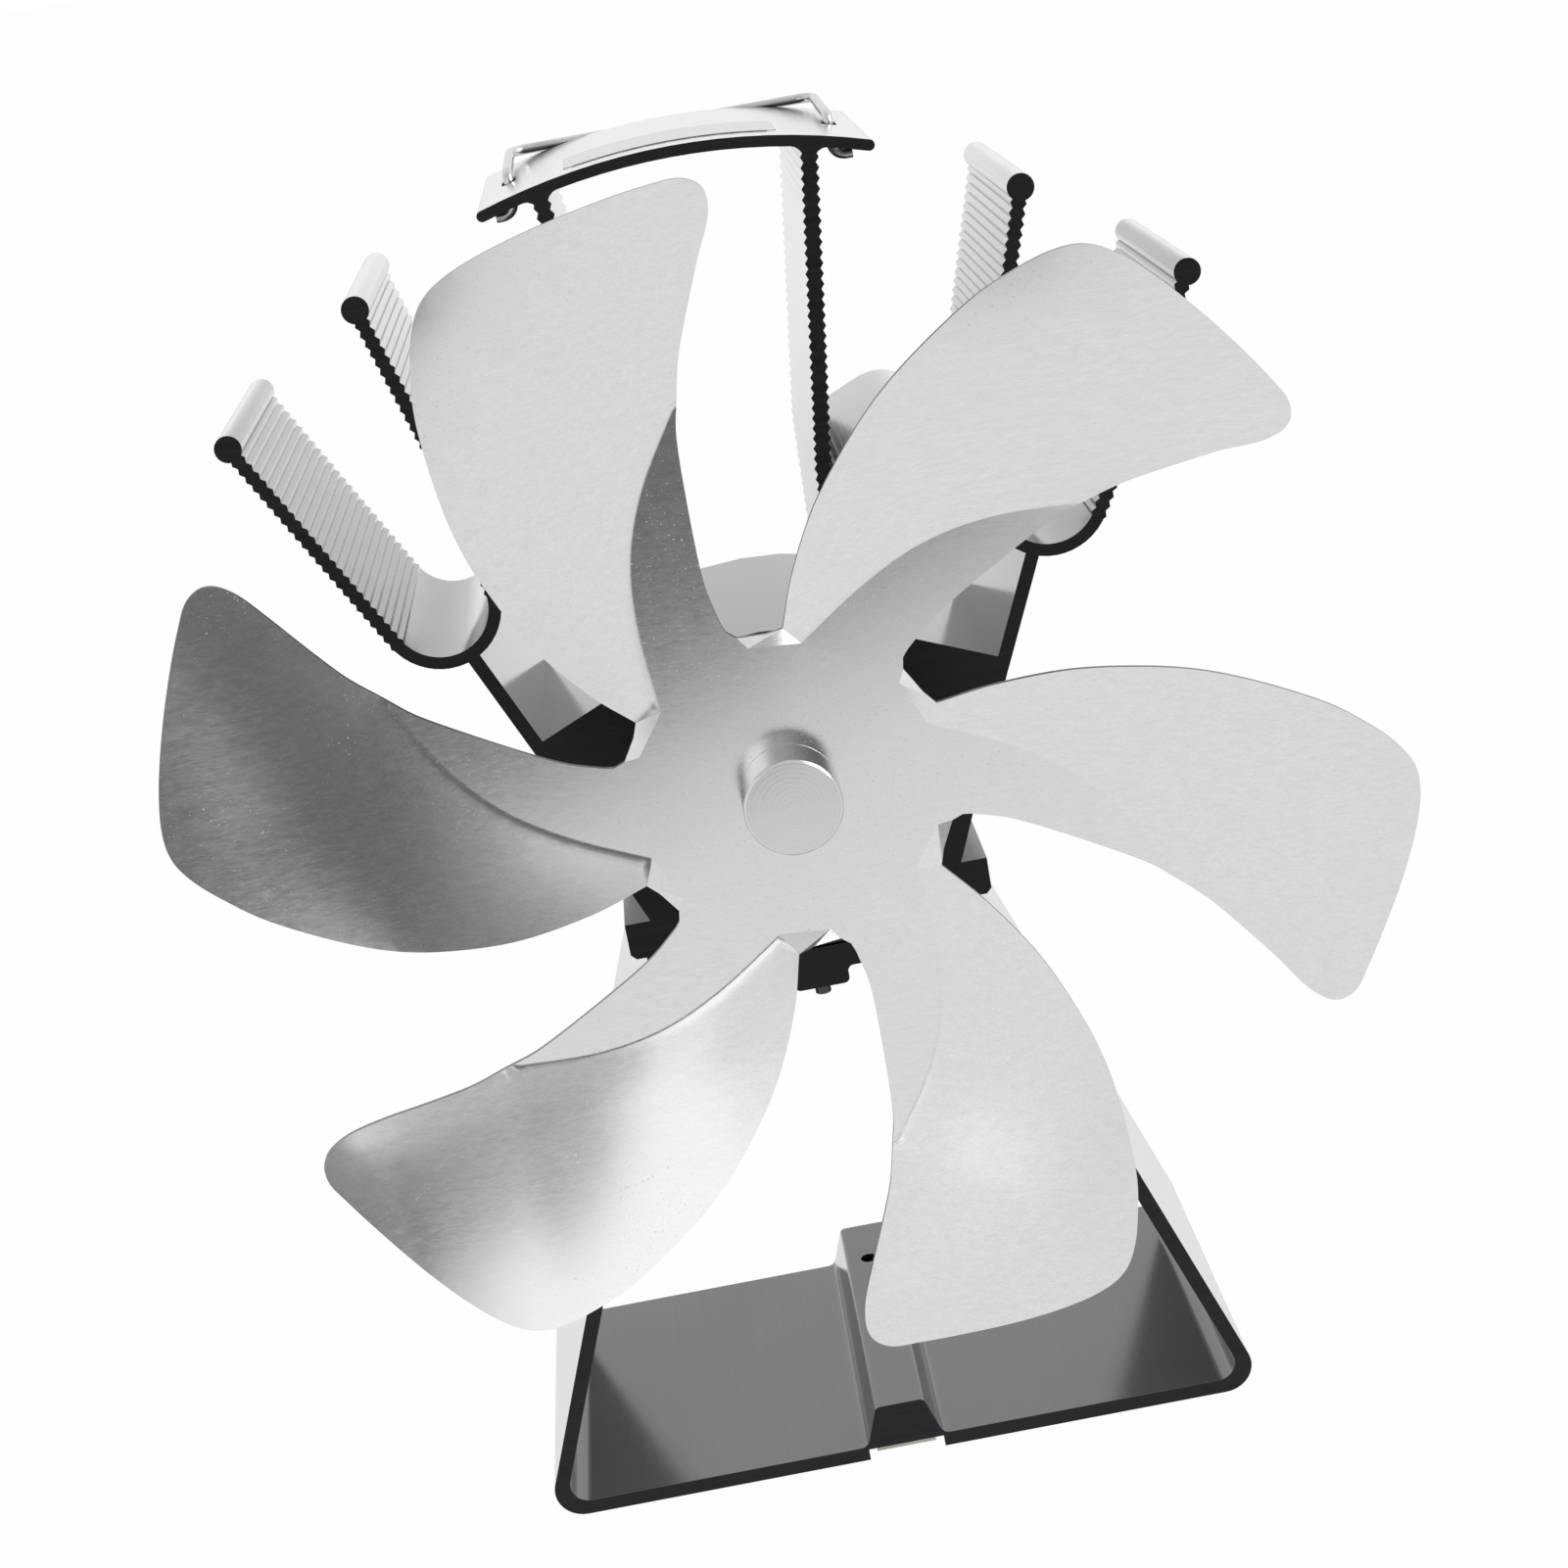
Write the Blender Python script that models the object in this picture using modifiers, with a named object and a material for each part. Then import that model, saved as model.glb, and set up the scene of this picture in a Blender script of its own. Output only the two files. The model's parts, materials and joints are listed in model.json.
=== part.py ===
"""Thermoelectric stove fan, metres, +Z up, +X to the right, +Y to the back.

The base stands at z = 0. The fan turns about an axis along Y, at x = 0.
"""

from math import atan2, ceil, cos, pi, sin, sqrt, tan, tau

import bmesh
import bpy
from mathutils import Matrix, Vector
from mathutils.geometry import delaunay_2d_cdt

MM = 0.001

# Clearances
SEAT_GAP = 0.3 * MM
FACE_GAP = 0.04 * MM
RUNNING_GAP = 0.06 * MM
CUT_OVERRUN = 1.5 * MM
WELD = 0.002 * MM

# Depths along Y, from the front faces of base and heat sink at FRONT_Y
FRONT_Y = -13.75 * MM
BASE_DEPTH = 60.4 * MM
SINK_DEPTH = 44.0 * MM
BLADE_OFFSET = 22.1 * MM

# Fan axis above the heat sink's underside
HUB_RISE = 29.46 * MM

# Base frame
BASE_HALF_WIDTH = 58.9 * MM
FOOT_PLATE = 2.4 * MM
FOOT_RADIUS = 4.6 * MM
WALL = 2.3 * MM
PLATFORM_TOP = 89.2 * MM
PLATFORM_HALF_WIDTH = 25.6 * MM
PLATFORM = 3.7 * MM
PLATFORM_CORNER = 1.2 * MM
INNER_FILLET = 3.0 * MM
RIB_HALF_WIDTH = 4.2 * MM
RIB_HEIGHT = 2.7 * MM
RIB_CORNER = 0.9 * MM
RIDGE_HEIGHT = 9.3 * MM
RIDGE_TOP_HALF = 3.9 * MM
RIDGE_FOOT_HALF = 6.2 * MM
RIDGE_CORNER = 1.0 * MM
RIDGE_FILLET = 1.6 * MM
GROOVE_HALF_WIDTH = 6.1 * MM
GROOVE_DEPTH = 1.9 * MM

# Bimetal strip in the groove
STRIP_WIDTH = 9.6 * MM
STRIP_THICKNESS = 0.6 * MM
STRIP_FRONT_INSET = 0.6 * MM
RIVET_INSET = 12.2 * MM
STRIP_TAIL = 5.0 * MM
RIVET_RADIUS = 1.2 * MM
RIVET_HEAD_RADIUS = 2.6 * MM
RIVET_HEAD = 0.5 * MM
RIVET_LENGTH = 3.2 * MM
RIDGE_HOLE_RADIUS = 1.4 * MM

# Thermoelectric stack between platform and heat sink
MODULE_SIDE = 30.0 * MM
CERAMIC = 0.8 * MM
COUPLE_SLAB = 1.3 * MM
COUPLE_MARGIN = 1.0 * MM
PAD = 0.25 * MM
GASKET_HALF_WIDTH = 25.2 * MM
GASKET_SLOT_HALF = 1.6 * MM

# Heat sink bottom plate and motor block
SINK_PLATE_HALF = 27.5 * MM
SINK_PLATE = 5.7 * MM
SINK_CORNER = 0.8 * MM
NECK_HALF = 23.6 * MM
BLOCK_SHOULDER_HALF = 33.8 * MM
BLOCK_SHOULDER_RISE = 6.8 * MM
BLOCK_CREST_RISE = 17.1 * MM
POST_FOOT_DROP = 1.6 * MM
CREST_FALL_SHARE = 0.75
BORE_RADIUS = 12.4 * MM

# Gutters and fins
GUTTER_X = 44.3 * MM
GUTTER_RISE = 22.3 * MM
GUTTER_RADIUS = 7.1 * MM
GUTTER_WALL = 1.8 * MM
STEM_TOP_INSET = 3.4 * MM
STEM = 2.0 * MM
FIN = 1.5 * MM
OUTER_TIP_OUT = 23.8 * MM
OUTER_TIP_RISE = 28.0 * MM
INNER_BEND_INSET = 4.4 * MM
INNER_BEND_RISE = 20.1 * MM
INNER_TIP_OUT = 6.7 * MM
INNER_TIP_RISE = 23.6 * MM
TIP_RADIUS = 1.95 * MM
RIB_PITCH = 1.45 * MM
RIB_PROUD = 0.42 * MM

# Arch webs
ARCH_END_INSET = 7.3 * MM
ARCH_END_RISE = 6.0 * MM
ARCH_CREST_INSET = 16.7 * MM
ARCH_CREST_RISE = 6.8 * MM
ARCH_START_RISE = 1.0 * MM
ARCH_WEB = 1.7 * MM
ARCH_RISE_SHARE = 0.72

# Posts and handle plate
POST_X = 12.6 * MM
POST_BEND_OUT = 0.6 * MM
POST_BEND_RISE = 21.6 * MM
POST_TOP_OUT = 5.6 * MM
POST = 1.75 * MM
HANDLE_PLATE_HALF = 26.9 * MM
HANDLE_PLATE = 1.55 * MM
HANDLE_PLATE_LIFT = 86.9 * MM
HANDLE_PLATE_RISE = 4.0 * MM
PLATE_FILLET = 1.9 * MM
FILLET_SINK = 0.2 * MM

# Wire handle, folded back at rest
WIRE_RADIUS = 0.75 * MM
LEG_X = 23.3 * MM
PIVOT_INSET = 21.0 * MM
SLOT_LENGTH = 6.6 * MM
SLOT_CLEARANCE = 0.3 * MM
LEG_LIFT = 1.15 * MM
LEG_BEND = 1.4 * MM
HOOK_RADIUS = 1.9 * MM
HOOK_REACH = 0.9 * MM
HOOK_DROP = 1.3 * MM
GRIP_CLEARANCE = 0.5 * MM
GRIP_LIFT = 0.6 * MM
GRIP_BEND = 2.6 * MM

# Clamp screws
SCREW_HOLE_RADIUS = 1.75 * MM
SCREW_HEAD_RADIUS = 2.7 * MM
SCREW_HEAD_HOLE_RADIUS = 3.0 * MM
SCREW_HEAD = 1.6 * MM
SCREW_INSET = 3.6 * MM
SCREW_PROUD = 2.2 * MM
SCREW_THREAD_RADIUS = 1.2 * MM
TAPPED_HOLE_RADIUS = 1.5 * MM
HEX_RADIUS = 1.2 * MM
HEX_DEPTH = 1.0 * MM

# Fan sheet
SHEET = 0.8 * MM
SHEET_BORE_CLEARANCE = 0.1 * MM
BLADE_COUNT = 6
BLADE_FIRST_ANGLE = 27.0
PADDLE_SLOPE = 0.54
PADDLE_FLAT_REACH = 52.0 * MM
PADDLE_GRID = 6.5 * MM
PADDLE_CLEAR_SHARE = 0.45
BLADE_BEND_SHARES = (0.7, 1, 1, 1, 0.45, 1)
BEND_START_SHARE = 0.5
BLADE_REACH = 85.3 * MM

# Shares of BLADE_REACH, along the blade and clockwise across it
CREASE_SHARES = ((0.244, -0.056), (0.363, 0.010), (0.455, 0.081), (0.526, 0.174), (0.588, 0.304))
CREASE_ON_SHARES = (0.690, 0.490)
NOTCH_SHARES = (0.212, -0.136)
LIP_SHARES = (0.246, -0.116)
LIP_SIDE_SHARES = (0.223, -0.158)
ROOT_SHARES = (0.263, -0.095)
LIP_RISE_SHARE = 0.45
PADDLE_EDGE_SHARES = (
    (0.356, -0.111),
    (0.475, -0.115),
    (0.587, -0.099),
    (0.677, -0.075),
    (0.765, -0.036),
    (0.857, 0.017),
)
PADDLE_CORNER_SHARES = ((0.912, 0.062), (0.955, 0.107), (0.979, 0.151))
TIP_SHARES = ((0.981, 0.203), (0.964, 0.275), (0.933, 0.362), (0.897, 0.445))
SPINE_CORNER_SHARES = ((0.867, 0.505), (0.840, 0.548), (0.805, 0.562), (0.768, 0.538))
SPINE_EDGE_SHARES = ((0.727, 0.478), (0.675, 0.404), (0.636, 0.353))
FLAT_EDGE_SHARES = ((0.543, 0.263), (0.441, 0.194), (0.351, 0.139), (0.290, 0.114))
GULLET_SHARES = ((0.267, 0.108),)

# Knob, rear flange and grub screw
KNOB_RADIUS = 6.9 * MM
KNOB_LENGTH = 7.35 * MM
KNOB_CHAMFER = 0.35 * MM
FLANGE_RADIUS = 6.0 * MM
FLANGE = 1.2 * MM
FLANGE_BOSS_RADIUS = 3.4 * MM
FLANGE_BOSS = 4.2 * MM
GRUB_RADIUS = 1.1 * MM
GRUB_LENGTH = 1.9 * MM

# Motor
MOTOR_RADIUS = 12.0 * MM
MOTOR_LENGTH = 24.0 * MM
MOTOR_INSET = 5.0 * MM
CAN_WALL = 0.8 * MM
CAN_EDGE = 1.0 * MM
CAN_BOSS_RADIUS = 3.6 * MM
CAN_BOSS = 1.4 * MM
SHAFT_RADIUS = 1.0 * MM
BEARING_RADIUS = 2.6 * MM
BEARING_LENGTH = 2.2 * MM
END_CAP = 3.2 * MM
END_CAP_BOSS_RADIUS = 3.8 * MM
END_CAP_BOSS = 1.8 * MM
MAGNET = 2.6 * MM
MAGNET_LENGTH = 15.0 * MM
MAGNET_HALF_ANGLE = 66.0
ARMATURE_MIDDLE_SHARE = 0.42
ARMATURE_RADIUS = 7.4 * MM
ARMATURE_LENGTH = 10.0 * MM
ARMATURE_SLOT = 1.6 * MM
ARMATURE_SLOT_DEPTH = 2.6 * MM
ARMATURE_SLOTS = 3
WINDING_RADIUS = 6.2 * MM
WINDING_LENGTH = 2.4 * MM
COMMUTATOR_RADIUS = 2.3 * MM
COMMUTATOR_LENGTH = 3.2 * MM
BRUSH_WIDTH = 1.8 * MM
BRUSH_LENGTH = 2.6 * MM
TERMINAL_X = 6.4 * MM
TERMINAL_WIDTH = 2.2 * MM
TERMINAL_THICKNESS = 0.4 * MM
TERMINAL_LENGTH = 3.4 * MM

# Leads from the module to the motor
LEAD_RADIUS = 0.55 * MM
LEAD_X = 7.0 * MM
LEAD_HOLE_RADIUS = 1.3 * MM
LEAD_HOLE_INSET = 3.4 * MM

# Roundness: degrees per step, and sides of round pieces
ARC_STEP = 12.0
GUTTER_STEP = 8.0
SLOT_STEP = 30.0
FILLET_STEP = 22.5
BEND_STEP = 18.0
STRAIGHT_SHARE = 0.49
ROUND_COUNT = 32
FINE_ROUND_COUNT = 48
MEDIUM_ROUND_COUNT = 24
TIP_ROUND_COUNT = 22
SMALL_ROUND_COUNT = 16
PLATE_SPAN_COUNT = 16
ARCH_SPAN_COUNT = 14
CREASE_SPAN_COUNT = 12
RIM_SPAN_COUNT = 36

# Places that follow from the sizes above
STACK = 2 * PAD + 2 * CERAMIC + COUPLE_SLAB + 6 * FACE_GAP
SINK_BOTTOM = PLATFORM_TOP + STACK
HUB_HEIGHT = SINK_BOTTOM + HUB_RISE
BLOCK_SHOULDER_HEIGHT = HUB_HEIGHT + BLOCK_SHOULDER_RISE
BLOCK_CREST_HEIGHT = HUB_HEIGHT + BLOCK_CREST_RISE
GUTTER_HEIGHT = BLOCK_SHOULDER_HEIGHT + GUTTER_RISE
STEM_TOP_X = GUTTER_X - STEM_TOP_INSET
OUTER_TIP_X = GUTTER_X + OUTER_TIP_OUT
OUTER_TIP_HEIGHT = GUTTER_HEIGHT + OUTER_TIP_RISE
INNER_BEND_X = GUTTER_X - INNER_BEND_INSET
INNER_BEND_HEIGHT = GUTTER_HEIGHT + INNER_BEND_RISE
INNER_TIP_X = INNER_BEND_X + INNER_TIP_OUT
INNER_TIP_HEIGHT = INNER_BEND_HEIGHT + INNER_TIP_RISE
ARCH_END_X = GUTTER_X - ARCH_END_INSET
ARCH_END_HEIGHT = GUTTER_HEIGHT + ARCH_END_RISE
ARCH_CREST_X = GUTTER_X - ARCH_CREST_INSET
ARCH_CREST_HEIGHT = ARCH_END_HEIGHT + ARCH_CREST_RISE
ARCH_START_HEIGHT = ARCH_END_HEIGHT + ARCH_START_RISE
POST_BEND_X = POST_X + POST_BEND_OUT
POST_BEND_HEIGHT = BLOCK_CREST_HEIGHT + POST_BEND_RISE
POST_TOP_X = POST_BEND_X + POST_TOP_OUT
HANDLE_PLATE_CREST = HUB_HEIGHT + HANDLE_PLATE_LIFT
SINK_BACK_Y = FRONT_Y + SINK_DEPTH
BASE_BACK_Y = FRONT_Y + BASE_DEPTH
BLADE_Y = FRONT_Y - BLADE_OFFSET
MODULE_Y = FRONT_Y + SINK_DEPTH / 2
SINK_PLATE_TOP = SINK_BOTTOM + SINK_PLATE
PLATFORM_BOTTOM = PLATFORM_TOP - PLATFORM
RIB_BOTTOM = PLATFORM_BOTTOM - RIB_HEIGHT
PIVOT_Y = FRONT_Y + PIVOT_INSET
RIVET_Y = BASE_BACK_Y - RIVET_INSET
MOTOR_FRONT = FRONT_Y + MOTOR_INSET
MOTOR_BACK = MOTOR_FRONT + MOTOR_LENGTH
ARMATURE_MIDDLE = MOTOR_FRONT + MOTOR_LENGTH * ARMATURE_MIDDLE_SHARE

COLORS = {
    "black_anodised": ((0.030, 0.030, 0.032), 0.35, 0.8),
    "brushed_aluminium": ((0.72, 0.72, 0.72), 0.34, 1.0),
    "turned_aluminium": ((0.66, 0.66, 0.66), 0.30, 1.0),
    "steel_wire": ((0.62, 0.62, 0.62), 0.22, 1.0),
    "screw_steel": ((0.30, 0.30, 0.31), 0.38, 1.0),
    "motor_steel": ((0.55, 0.55, 0.56), 0.35, 1.0),
    "bronze": ((0.50, 0.33, 0.16), 0.45, 1.0),
    "copper": ((0.72, 0.34, 0.18), 0.35, 1.0),
    "brass": ((0.72, 0.55, 0.24), 0.35, 1.0),
    "bimetal": ((0.46, 0.44, 0.40), 0.40, 1.0),
    "ceramic": ((0.86, 0.86, 0.84), 0.60, 0.0),
    "graphite": ((0.06, 0.06, 0.06), 0.70, 0.1),
    "gasket": ((0.10, 0.10, 0.10), 0.85, 0.0),
    "dark_plastic": ((0.05, 0.05, 0.05), 0.50, 0.0),
    "magnet": ((0.12, 0.12, 0.12), 0.70, 0.2),
    "red_lead": ((0.55, 0.03, 0.02), 0.45, 0.0),
    "black_lead": ((0.03, 0.03, 0.03), 0.45, 0.0),
}


# Scene, collections and materials


def clear_scene():
    for obj in list(bpy.data.objects):
        bpy.data.objects.remove(obj, do_unlink=True)


def collection(name):
    made = bpy.data.collections.new(name)
    bpy.context.scene.collection.children.link(made)
    return made


def material(name):
    found = bpy.data.materials.get(name)
    if found:
        return found
    color, roughness, metallic = COLORS[name]
    made = bpy.data.materials.new(name)
    made.use_nodes = True
    shader = made.node_tree.nodes["Principled BSDF"]
    shader.inputs["Base Color"].default_value = (*color, 1.0)
    shader.inputs["Roughness"].default_value = roughness
    shader.inputs["Metallic"].default_value = metallic
    return made


def place(obj, group, finish=None):
    """Links an object to one collection and gives it its finish."""
    for old in list(obj.users_collection):
        old.objects.unlink(obj)
    group.objects.link(obj)
    if finish:
        obj.data.materials.clear()
        obj.data.materials.append(material(finish))
    return obj


def smooth(obj, angle=35.0):
    obj.data.shade_smooth()
    obj.data.set_sharp_from_angle(angle=angle * pi / 180)
    return obj


def mesh_object(name, shape):
    """A new object from a bmesh, with its faces turned outwards."""
    bmesh.ops.recalc_face_normals(shape, faces=shape.faces)
    mesh = bpy.data.meshes.new(name)
    shape.to_mesh(mesh)
    shape.free()
    return bpy.data.objects.new(name, mesh)


def as_mesh(curve_object):
    """The curve object as a mesh object with its caps welded."""
    scene = bpy.context.scene.collection
    scene.objects.link(curve_object)
    bpy.context.view_layer.update()
    graph = bpy.context.evaluated_depsgraph_get()
    mesh = bpy.data.meshes.new_from_object(curve_object.evaluated_get(graph))
    made = bpy.data.objects.new(curve_object.name, mesh)
    made.matrix_world = curve_object.matrix_world
    name = curve_object.name
    bpy.data.objects.remove(curve_object, do_unlink=True)
    made.name = name
    shape = bmesh.new()
    shape.from_mesh(mesh)
    bmesh.ops.remove_doubles(shape, verts=shape.verts, dist=WELD)
    shape.to_mesh(mesh)
    shape.free()
    return made


# Flat shapes: lists of (x, z) points


def arc(center, radius, start, end, step=ARC_STEP):
    """Points on an arc, angles in degrees from +x towards +z."""
    count = max(2, ceil(abs(end - start) / step))
    points = []
    for index in range(count + 1):
        angle = (start + (end - start) * index / count) * pi / 180
        points.append((center[0] + radius * cos(angle), center[1] + radius * sin(angle)))
    return points


def rounded(corners, radii):
    """A closed outline whose corners are rounded by their radii."""
    points = []
    count = len(corners)
    for index, (corner, radius) in enumerate(zip(corners, radii)):
        corner = Vector(corner)
        before = (Vector(corners[index - 1]) - corner).normalized()
        after = (Vector(corners[(index + 1) % count]) - corner).normalized()
        half = before.angle(after) / 2
        if radius <= 0 or half > STRAIGHT_SHARE * pi:
            points.append(tuple(corner))
            continue
        reach = radius / tan(half)
        center = corner + (before + after).normalized() * (radius / sin(half))
        first = corner + before * reach - center
        last = corner + after * reach - center
        start = atan2(first.y, first.x)
        turn = (atan2(last.y, last.x) - start + pi) % tau - pi
        steps = max(2, ceil(abs(turn) * 180 / pi / ARC_STEP))
        for step in range(steps + 1):
            angle = start + turn * step / steps
            points.append((center.x + radius * cos(angle), center.y + radius * sin(angle)))
    return points


def mirrored(half):
    """A right half outline closed by its mirror image."""
    return half + [(-x, z) for x, z in reversed(half) if x > 0]


def circle(center, radius, count=ROUND_COUNT):
    return [
        (center[0] + radius * cos(tau * i / count), center[1] + radius * sin(tau * i / count))
        for i in range(count)
    ]


def smooth_path(points, count):
    """Points along a smooth curve through the given ones."""
    ends = [2 * Vector(points[0]) - Vector(points[1])]
    ends += [Vector(point) for point in points]
    ends += [2 * Vector(points[-1]) - Vector(points[-2])]
    spans = len(points) - 1
    out = []
    for index in range(count + 1):
        at = spans * index / count
        span = min(int(at), spans - 1)
        t = at - span
        p0, p1, p2, p3 = ends[span : span + 4]
        out.append(
            0.5
            * (
                2 * p1
                + (p2 - p0) * t
                + (2 * p0 - 5 * p1 + 4 * p2 - p3) * t**2
                + (3 * p1 - p0 - 3 * p2 + p3) * t**3
            )
        )
    return out


def along(path, distance):
    """Point and unit direction at a distance along a path of vectors."""
    spans = list(zip(path, path[1:]))
    for first, last in spans:
        step = (last - first).length
        if distance <= step or last is path[-1]:
            break
        distance -= step
    direction = (last - first).normalized()
    return first + direction * min(distance, step), direction


def path_length(path):
    return sum((last - first).length for first, last in zip(path, path[1:]))


def ribbed_band(path, thickness):
    """The outline of a fin along a path, with ribs on both faces."""
    path = [Vector(point) for point in path]
    length = path_length(path)
    ribs = max(1, round(length / RIB_PITCH))
    left, right = [], []
    for index in range(2 * ribs + 1):
        point, direction = along(path, length * index / (2 * ribs))
        side = Vector((-direction.y, direction.x))
        reach = thickness / 2 + (RIB_PROUD if index % 2 else 0)
        left.append(tuple(point + side * reach))
        right.append(tuple(point - side * reach))
    return left + right[::-1]


def plain_band(path, thickness):
    """The outline of a smooth web of even thickness along a path."""
    path = [Vector(point) for point in path]
    left, right = [], []
    for index, point in enumerate(path):
        before = path[max(index - 1, 0)]
        after = path[min(index + 1, len(path) - 1)]
        direction = (after - before).normalized()
        side = Vector((-direction.y, direction.x)) * (thickness / 2)
        left.append(tuple(point + side))
        right.append(tuple(point - side))
    return left + right[::-1]


# Solids from the flat shapes


def prism(name, outlines, front, depth):
    """Closed outlines in x and z, the later ones holes, extruded back from a front plane."""
    curve = bpy.data.curves.new(name, "CURVE")
    curve.dimensions = "2D"
    curve.fill_mode = "BOTH"
    curve.extrude = depth / 2
    for outline in outlines:
        spline = curve.splines.new("POLY")
        spline.points.add(len(outline) - 1)
        for point, (x, z) in zip(spline.points, outline):
            point.co = (x, z, 0, 1)
        spline.use_cyclic_u = True
    obj = bpy.data.objects.new(name, curve)
    obj.matrix_world = Matrix.Translation((0, front + depth / 2, 0)) @ Matrix.Rotation(pi / 2, 4, "X")
    return baked(as_mesh(obj))


def slab(name, outline, bottom, height):
    """A closed outline in x and y, extruded up from a height."""
    curve = bpy.data.curves.new(name, "CURVE")
    curve.dimensions = "2D"
    curve.fill_mode = "BOTH"
    curve.extrude = height / 2
    spline = curve.splines.new("POLY")
    spline.points.add(len(outline) - 1)
    for point, (x, y) in zip(spline.points, outline):
        point.co = (x, y, 0, 1)
    spline.use_cyclic_u = True
    obj = bpy.data.objects.new(name, curve)
    obj.matrix_world = Matrix.Translation((0, 0, bottom + height / 2))
    return baked(as_mesh(obj))


def baked(obj):
    """Moves an object's placing into its mesh."""
    obj.data.transform(obj.matrix_world)
    obj.matrix_world = Matrix.Identity(4)
    shape = bmesh.new()
    shape.from_mesh(obj.data)
    bmesh.ops.recalc_face_normals(shape, faces=shape.faces)
    shape.to_mesh(obj.data)
    shape.free()
    return obj


def block(name, low, high):
    shape = bmesh.new()
    bmesh.ops.create_cube(shape, size=1)
    middle = (Vector(low) + Vector(high)) / 2
    size = Vector(high) - Vector(low)
    bmesh.ops.transform(
        shape, matrix=Matrix.Translation(middle) @ Matrix.Diagonal((*size, 1)), verts=shape.verts
    )
    return mesh_object(name, shape)


def rod(name, start, end, radius, count=ROUND_COUNT):
    """A cylinder between two points."""
    start, end = Vector(start), Vector(end)
    shape = bmesh.new()
    bmesh.ops.create_cone(
        shape,
        cap_ends=True,
        segments=count,
        radius1=radius,
        radius2=radius,
        depth=(end - start).length,
    )
    turn = Vector((0, 0, 1)).rotation_difference(end - start).to_matrix().to_4x4()
    bmesh.ops.transform(
        shape, matrix=Matrix.Translation((start + end) / 2) @ turn, verts=shape.verts
    )
    return mesh_object(name, shape)


def turned(name, profile, group, finish, count=ROUND_COUNT):
    """A profile of (distance along y, radius), turned about the fan axis."""
    mesh = bpy.data.meshes.new(name)
    shape = bmesh.new()
    points = [shape.verts.new((radius, 0, -y)) for y, radius in profile]
    for first, last in zip(points, points[1:]):
        shape.edges.new((first, last))
    shape.to_mesh(mesh)
    shape.free()
    obj = bpy.data.objects.new(name, mesh)
    screw = obj.modifiers.new("turn", "SCREW")
    screw.axis = "Z"
    screw.angle = tau
    screw.steps = count
    screw.render_steps = count
    screw.use_merge_vertices = True
    screw.merge_threshold = WELD
    screw.use_normal_calculate = False
    screw.use_smooth_shade = False
    obj.matrix_world = Matrix.Translation((0, 0, HUB_HEIGHT)) @ Matrix.Rotation(pi / 2, 4, "X")
    group.objects.link(obj)
    obj.data.materials.append(material(finish))
    return obj


def boolean(target, tool, operation, tools):
    """Cuts or joins a tool, which is kept hidden in the tools' collection."""
    place(tool, tools)
    tool.hide_render = True
    tool.display_type = "WIRE"
    modifier = target.modifiers.new(operation.lower(), "BOOLEAN")
    modifier.operation = operation
    modifier.solver = "EXACT"
    modifier.object = tool
    return target


def wire(name, points, radius, group, finish, sides=2):
    """A tube along points in space."""
    curve = bpy.data.curves.new(name, "CURVE")
    curve.dimensions = "3D"
    curve.bevel_depth = radius
    curve.bevel_resolution = sides
    curve.use_fill_caps = True
    spline = curve.splines.new("POLY")
    spline.points.add(len(points) - 1)
    for target, point in zip(spline.points, points):
        target.co = (*point, 1)
    obj = as_mesh(bpy.data.objects.new(name, curve))
    place(obj, group, finish)
    return smooth(obj, 50.0)


def bend(corners, radii):
    """Points of a path in space whose inner corners are rounded."""
    points = [Vector(corners[0])]
    for index in range(1, len(corners) - 1):
        corner = Vector(corners[index])
        before = (Vector(corners[index - 1]) - corner).normalized()
        after = (Vector(corners[index + 1]) - corner).normalized()
        half = before.angle(after) / 2
        radius = radii[index - 1]
        center = corner + (before + after).normalized() * (radius / sin(half))
        first = corner + before * (radius / tan(half)) - center
        last = corner + after * (radius / tan(half)) - center
        turn = first.angle(last)
        steps = max(2, ceil(turn * 180 / pi / BEND_STEP))
        for step in range(steps + 1):
            t = step / steps
            weight = sin(turn * (1 - t)) / sin(turn), sin(turn * t) / sin(turn)
            points.append(center + first * weight[0] + last * weight[1])
    points.append(Vector(corners[-1]))
    return points


# Base frame


def wall_x(height):
    """Outer face of the sloping wall at a height."""
    share = height / PLATFORM_TOP
    return BASE_HALF_WIDTH + (PLATFORM_HALF_WIDTH - BASE_HALF_WIDTH) * share


def base_outline():
    corners = [
        (GROOVE_HALF_WIDTH, GROOVE_DEPTH),
        (GROOVE_HALF_WIDTH, 0),
        (BASE_HALF_WIDTH, 0),
        (PLATFORM_HALF_WIDTH, PLATFORM_TOP),
    ]
    radii = (0, 0, FOOT_RADIUS, PLATFORM_CORNER)
    return rounded(mirrored(corners), radii + radii[::-1])


def base_window():
    slope = (BASE_HALF_WIDTH - PLATFORM_HALF_WIDTH) / PLATFORM_TOP
    inset = WALL * sqrt(1 + slope**2)
    corners = [
        (RIDGE_TOP_HALF, RIDGE_HEIGHT),
        (RIDGE_FOOT_HALF, FOOT_PLATE),
        (wall_x(FOOT_PLATE) - inset, FOOT_PLATE),
        (wall_x(PLATFORM_BOTTOM) - inset, PLATFORM_BOTTOM),
        (RIB_HALF_WIDTH, PLATFORM_BOTTOM),
        (RIB_HALF_WIDTH, RIB_BOTTOM),
    ]
    radii = (RIDGE_CORNER, RIDGE_FILLET, INNER_FILLET, INNER_FILLET, RIB_CORNER, RIB_CORNER)
    return rounded(mirrored(corners), radii + radii[::-1])


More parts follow.
